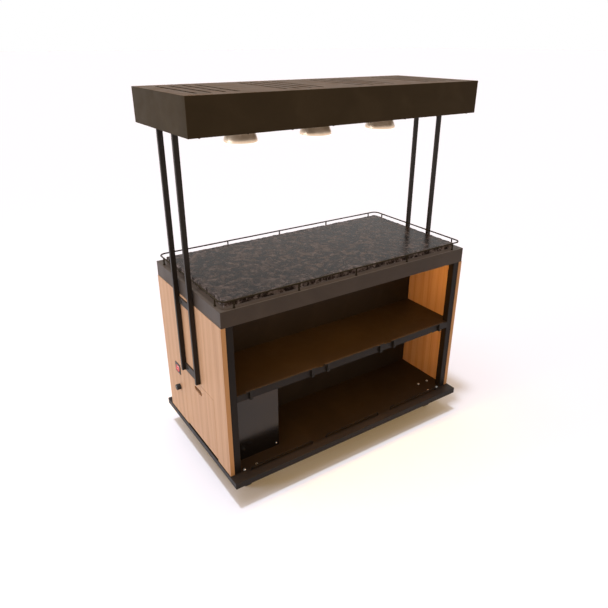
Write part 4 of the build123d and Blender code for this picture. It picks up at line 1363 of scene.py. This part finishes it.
@dataclass
class Controls:
    """What the rocker and the knob carry: an on mark, an off ring and a pointer line."""

    finishes: Finishes
    y: float = 169 * MM
    switch_z: float = 390 * MM
    panel_x: float = -602 * MM
    pivot_in: float = 6 * MM
    mid_out: float = 8.5 * MM
    end_out: float = 10 * MM
    half_h: float = 12.4 * MM
    tilt: float = math.radians(8)
    mark_up: float = 6.2 * MM
    stroke: tuple[float, float, float] = (5 * MM, 1.1 * MM, 0.3 * MM)
    ring_in: float = 1.8 * MM
    ring_out: float = 2.7 * MM
    ring_half_t: float = 0.15 * MM
    ring_steps: int = 32
    knob_z: float = 295 * MM
    knob_face_x: float = -621 * MM
    pointer_proud: float = 0.25 * MM
    pointer_deep: float = 0.4 * MM
    pointer_half_w: float = 0.8 * MM
    pointer_from: float = 3.5 * MM
    pointer_to: float = 11 * MM
    pointer_edge: float = 0.15 * MM

    def build(self) -> None:
        """Make the marks and the pointer."""
        self.marks()
        self.pointer()

    def on_rocker(self, piece: Piece, made: Verts, up: float) -> None:
        """Lay some vertices, made flat about the origin and facing +Z, on the rocker's slope.

        Args:
            piece: the mesh that holds them.
            made: the vertices.
            up: how far above the pivot they go, along the rocker.
        """
        slope = math.atan2(self.end_out - self.mid_out, self.half_h)
        out = self.mid_out + (self.end_out - self.mid_out) * abs(up) / self.half_h
        turn = Axis.Y.turn(math.copysign(slope, up)) @ Axis.Y.turn(-math.pi / 2)
        piece.place(made, turn=turn, to=Vector((-out, 0.0, up)))
        pivot = Vector((self.panel_x + self.pivot_in, self.y, self.switch_z))
        piece.place(made, turn=Axis.Y.turn(self.tilt), to=pivot)

    def marks(self) -> None:
        """Put the upright stroke on the rocker's upper half and the ring on its lower half."""
        piece = Piece("rocker_marks")
        stroke = bmesh.ops.create_cube(piece.shape, size=1.0)["verts"]
        piece.place(stroke, scale=self.stroke)
        self.on_rocker(piece, stroke, self.mark_up)
        before = set(piece.shape.verts)
        low, high = -self.ring_half_t, self.ring_half_t
        profile = [(self.ring_in, low), (self.ring_out, low), (self.ring_out, high)]
        profile += [(self.ring_in, high), (self.ring_in, low)]
        piece.turned(profile, Vector((0, 0, 0)), Axis.Z, self.ring_steps)
        self.on_rocker(piece, piece.since(before), -self.mark_up)
        piece.deliver(self.finishes.mark, "rocker")

    def pointer(self) -> None:
        """Put the pale line on the knob's face."""
        piece = Piece("knob_pointer")
        face = Vector((self.knob_face_x, self.y, self.knob_z))
        low = face + Vector((-self.pointer_proud, -self.pointer_half_w, self.pointer_from))
        high = face + Vector((self.pointer_deep, self.pointer_half_w, self.pointer_to))
        piece.block(low, high, self.pointer_edge)
        piece.deliver(self.finishes.mark, "knob")


@dataclass
class CasterTrim:
    """Details of the four casters: ribs on the wheels, nuts on the axles, ball-race rings."""

    finishes: Finishes
    x: float = 509 * MM
    y: float = 262 * MM
    trail: float = 22 * MM
    wheel_r: float = 37.5 * MM
    wheel_w: float = 28 * MM
    dish: float = 5 * MM
    ribs: int = 8
    rib_in: float = 11 * MM
    rib_out: float = 23 * MM
    rib_root: float = 1 * MM
    rib_t: float = 2 * MM
    rib_height: float = 0.8
    rib_sink: float = 0.6
    fork_out: float = 18 * MM
    washer_r: float = 8 * MM
    washer_t: float = 0.8 * MM
    washer_sides: int = 28
    nut_r: float = 7.3 * MM
    nut_t: float = 3.6 * MM
    nut_sides: int = 6
    nut_edge: float = 0.4 * MM
    race_z: float = 92.85 * MM
    race_drop: float = 6.5 * MM
    race_r: float = 23.6 * MM
    race_t: float = 1.2 * MM
    race_h: float = 4 * MM
    race_crown: float = 5 * MM
    race_steps: int = 40

    def build(self) -> None:
        """Dress each caster."""
        for corner in Corner:
            name = corner.name.lower()
            sx, sy = corner.value
            pivot = Vector((sx * self.x, sy * self.y, 0.0))
            wheel = pivot + Vector((0.0, -sy * self.trail, self.wheel_r))
            self.wheel_ribs(name, wheel)
            self.axle_nuts(name, wheel)
            self.race(name, pivot)

    def wheel_ribs(self, corner: str, wheel: Vector) -> None:
        """Spread stiffening ribs over both dished faces of a wheel.

        Args:
            corner: the caster's short name.
            wheel: the wheel's centre.
        """
        piece = Piece(f"wheel_ribs_{corner}")
        length = self.rib_out - self.rib_in + self.rib_root
        for side in Side:
            mid = side.value * (self.wheel_w / 2 - self.dish * self.rib_sink)
            for number in range(self.ribs):
                made = bmesh.ops.create_cube(piece.shape, size=1.0)["verts"]
                piece.place(made, scale=(self.dish * self.rib_height, self.rib_t, length))
                piece.place(made, to=Vector((mid, 0.0, (self.rib_in + self.rib_out) / 2)))
                piece.place(made, turn=Axis.X.turn(TAU * number / self.ribs), to=wheel)
        piece.deliver(self.finishes.by_slot["hub_plastic"], f"wheel_{corner}")

    def axle_nuts(self, corner: str, wheel: Vector) -> None:
        """Put a six-sided nut with a washer on both ends of an axle.

        Args:
            corner: the caster's short name.
            wheel: the wheel's centre.
        """
        piece = Piece(f"axle_nuts_{corner}")
        for side in Side:
            out = side.value * Axis.X.vector
            washer = wheel + out * (self.fork_out + self.washer_t / 2)
            nut = wheel + out * (self.fork_out + self.washer_t + self.nut_t / 2)
            piece.disc(washer, self.washer_r, self.washer_t, Axis.X, self.washer_sides)
            piece.disc(nut, self.nut_r, self.nut_t, Axis.X, self.nut_sides, self.nut_edge)
        piece.deliver(self.finishes.by_slot["bolt_zinc"], f"swivel_{corner}")

    def race(self, corner: str, pivot: Vector) -> None:
        """Put a rolled ring on the fork's ball race.

        Args:
            corner: the caster's short name.
            pivot: where the swivel's axis meets the floor.
        """
        piece = Piece(f"race_ring_{corner}")
        base = self.race_z - self.race_drop
        bore = self.race_r - self.race_t
        profile = [
            (bore, base),
            (self.race_r, base),
            (self.race_r, base + self.race_h),
            (self.race_r - self.race_t / 2, base + self.race_crown),
            (bore, base + self.race_h),
            (bore, base),
        ]
        piece.turned(profile, pivot, Axis.Z, self.race_steps)
        piece.deliver(self.finishes.by_slot["fork_zinc"], f"swivel_{corner}")


@dataclass
class Studio:
    """The plain white floor, the light and the camera.

    Each high light is a pair of its power and its spread in degrees. Each bay strip is its
    distance from the middle, its height and its power.
    """

    camera_at: tuple[float, float, float] = (-1.3160, -1.8927, 1.6840)
    camera_to: tuple[float, float, float] = (0.50249, 0.75395, -0.42316)
    lens: float = 33.31
    sensor: float = 36.0
    sight: float = 500.0
    floor_size: float = 120.0
    floor_bounce: Colour = (0.44, 0.4, 0.36)
    floor_seen: Colour = (0.757, 0.8, 0.975)
    shade: Colour = (1.0, 0.6, 0.16)
    lift: float = 0.15
    ambient: float = 0.5
    ambient_tint: Colour = (1.0, 0.76, 0.5)
    suns: tuple[tuple[float, float], ...] = ((1.5, 4.0), (0.9, 40.0))
    sun_tint: Colour = (0.95, 0.98, 1.0)
    sun_at: tuple[float, float, float] = (-0.4, 0.05, 3.0)
    side: float = 57.0
    side_tint: Colour = (0.9, 0.96, 1.0)
    side_size: tuple[float, float] = (2.0, 1.6)
    side_at: tuple[float, float, float] = (-3.8, 1.2, 0.9)
    side_to: tuple[float, float, float] = (-0.6, 0.0, 0.55)
    strips: tuple[tuple[float, float, float], ...] = ((0.259, 0.7995, 2.7), (0.279, 0.4715, 1.7))
    strip_tint: Colour = (1.0, 0.46, 0.05)
    strip_size: tuple[float, float] = (0.98, 0.012)
    glow: float = 0.5
    glow_tint: Colour = (1.0, 0.78, 0.5)
    glow_size: tuple[float, float] = (0.1, 0.1)
    glow_z: float = 1.337

    def build(self) -> None:
        """Set the stage."""
        self.floor()
        self.sky()
        self.lamps()
        self.camera()

    def floor(self) -> None:
        """Lay a wide pale floor that keeps the shadow and shows white where it is lit."""
        piece = bmesh.new()
        bmesh.ops.create_grid(piece, x_segments=1, y_segments=1, size=self.floor_size)
        mesh = bpy.data.meshes.new("floor")
        piece.to_mesh(mesh)
        piece.free()
        board = Board("floor_white")
        seen = board.seen()
        pale = board.blend(seen, self.floor_bounce, self.floor_seen)
        board.finish(Base_Color=pale, Roughness=0.9, Specular_IOR_Level=0.0)
        glow = {"Color": opaque(self.shade), "Strength": board.times(seen, self.lift)}
        lift = board.add("ShaderNodeEmission", glow).outputs[0]
        both = board.add("ShaderNodeAddShader", {0: board.shader.outputs[0], 1: lift}).outputs[0]
        board.feed(board.tree.nodes["Material Output"].inputs[0], both)
        mesh.materials.append(board.material)
        floor = bpy.data.objects.new("floor", mesh)
        bpy.context.scene.collection.objects.link(floor)

    def sky(self) -> None:
        """Put up a pale even surround, white to the camera and in reflections."""
        world = bpy.data.worlds.new("surround")
        world.use_nodes = True
        bpy.context.scene.world = world
        wiring = Wiring(world.node_tree)
        back = wiring.tree.nodes["Background"].inputs
        seen = wiring.seen()
        wiring.feed(back["Strength"], wiring.between(seen, 0.0, 1.0, to=(self.ambient, 1.0)))
        wiring.feed(back["Color"], wiring.blend(seen, self.ambient_tint, grey(1.0)))

    def lamps(self) -> None:
        """Hang the high lights, the one at the left end, the bay strips and the bulbs' glow."""
        for power, spread in self.suns:
            sun = bpy.data.lights.new("high_light", "SUN")
            sun.energy = power
            sun.angle = math.radians(spread)
            sun.color = self.sun_tint
            self.aim("high_light", sun, Vector(self.sun_at), Vector((0.0, 0.0, 0.0)))
        end = self.soft("end_light", self.side, self.side_tint, self.side_size)
        self.aim("end_light", end, Vector(self.side_at), Vector(self.side_to))
        for face in Face:
            for y, z, power in self.strips:
                strip = self.soft("bay_strip", power, self.strip_tint, self.strip_size)
                place = Vector((0.0, face.value * y, z))
                self.aim("bay_strip", strip, place, place - Axis.Z.vector)
        for number in THREE:
            bulb = self.soft("lamp_glow", self.glow, self.glow_tint, self.glow_size, Outline.DISK)
            place = Vector((number * LAMP_PITCH, 0.0, self.glow_z))
            self.aim("lamp_glow", bulb, place, place - Axis.Z.vector)

    @staticmethod
    def soft(
        name: str,
        power: float,
        tint: Colour,
        size: tuple[float, float],
        outline: Outline = Outline.RECTANGLE,
    ) -> bpy.types.Light:
        """Make a soft light.

        Args:
            name: the light's name.
            power: its power in watts.
            tint: its colour.
            size: its two sizes in metres.
            outline: its outline.

        Returns:
            The light, not hung yet.
        """
        light = bpy.data.lights.new(name, "AREA")
        light.energy = power
        light.shape = outline.value
        light.size, light.size_y = size
        light.color = tint
        return light

    def aim(self, name: str, light: bpy.types.Light, at: Vector, to: Vector) -> None:
        """Hang a light and turn it to a point.

        Args:
            name: the lamp's name.
            light: its light.
            at: where it hangs.
            to: the point that it faces.
        """
        lamp = bpy.data.objects.new(name, light)
        lamp.location = at
        lamp.rotation_euler = (to - at).to_track_quat("-Z", "X").to_euler()
        bpy.context.scene.collection.objects.link(lamp)

    def camera(self) -> None:
        """Stand the camera where the photograph was taken."""
        data = bpy.data.cameras.new("camera")
        data.sensor_width = self.sensor
        data.lens = self.lens
        data.clip_end = self.sight
        camera = bpy.data.objects.new("camera", data)
        camera.location = self.camera_at
        camera.rotation_euler = Vector(self.camera_to).to_track_quat("-Z", "Y").to_euler()
        bpy.context.scene.collection.objects.link(camera)
        bpy.context.scene.camera = camera
        bpy.context.scene.view_settings.view_transform = "Standard"


def main() -> None:
    """Dress the counter and set the stage."""
    logging.basicConfig(level=logging.INFO, format="%(name)s %(message)s")
    finishes = Finishes()
    finishes.dress()
    for assembly in (
        Slab(finishes),
        HeatLamps(finishes),
        CanopyTrim(finishes),
        PostScrews(finishes),
        StopScrews(finishes),
        HousingScrews(finishes),
        Controls(finishes),
        CasterTrim(finishes),
        Studio(),
    ):
        log.info("building %s", type(assembly).__name__)
        assembly.build()


if __name__ == "__main__":
    main()
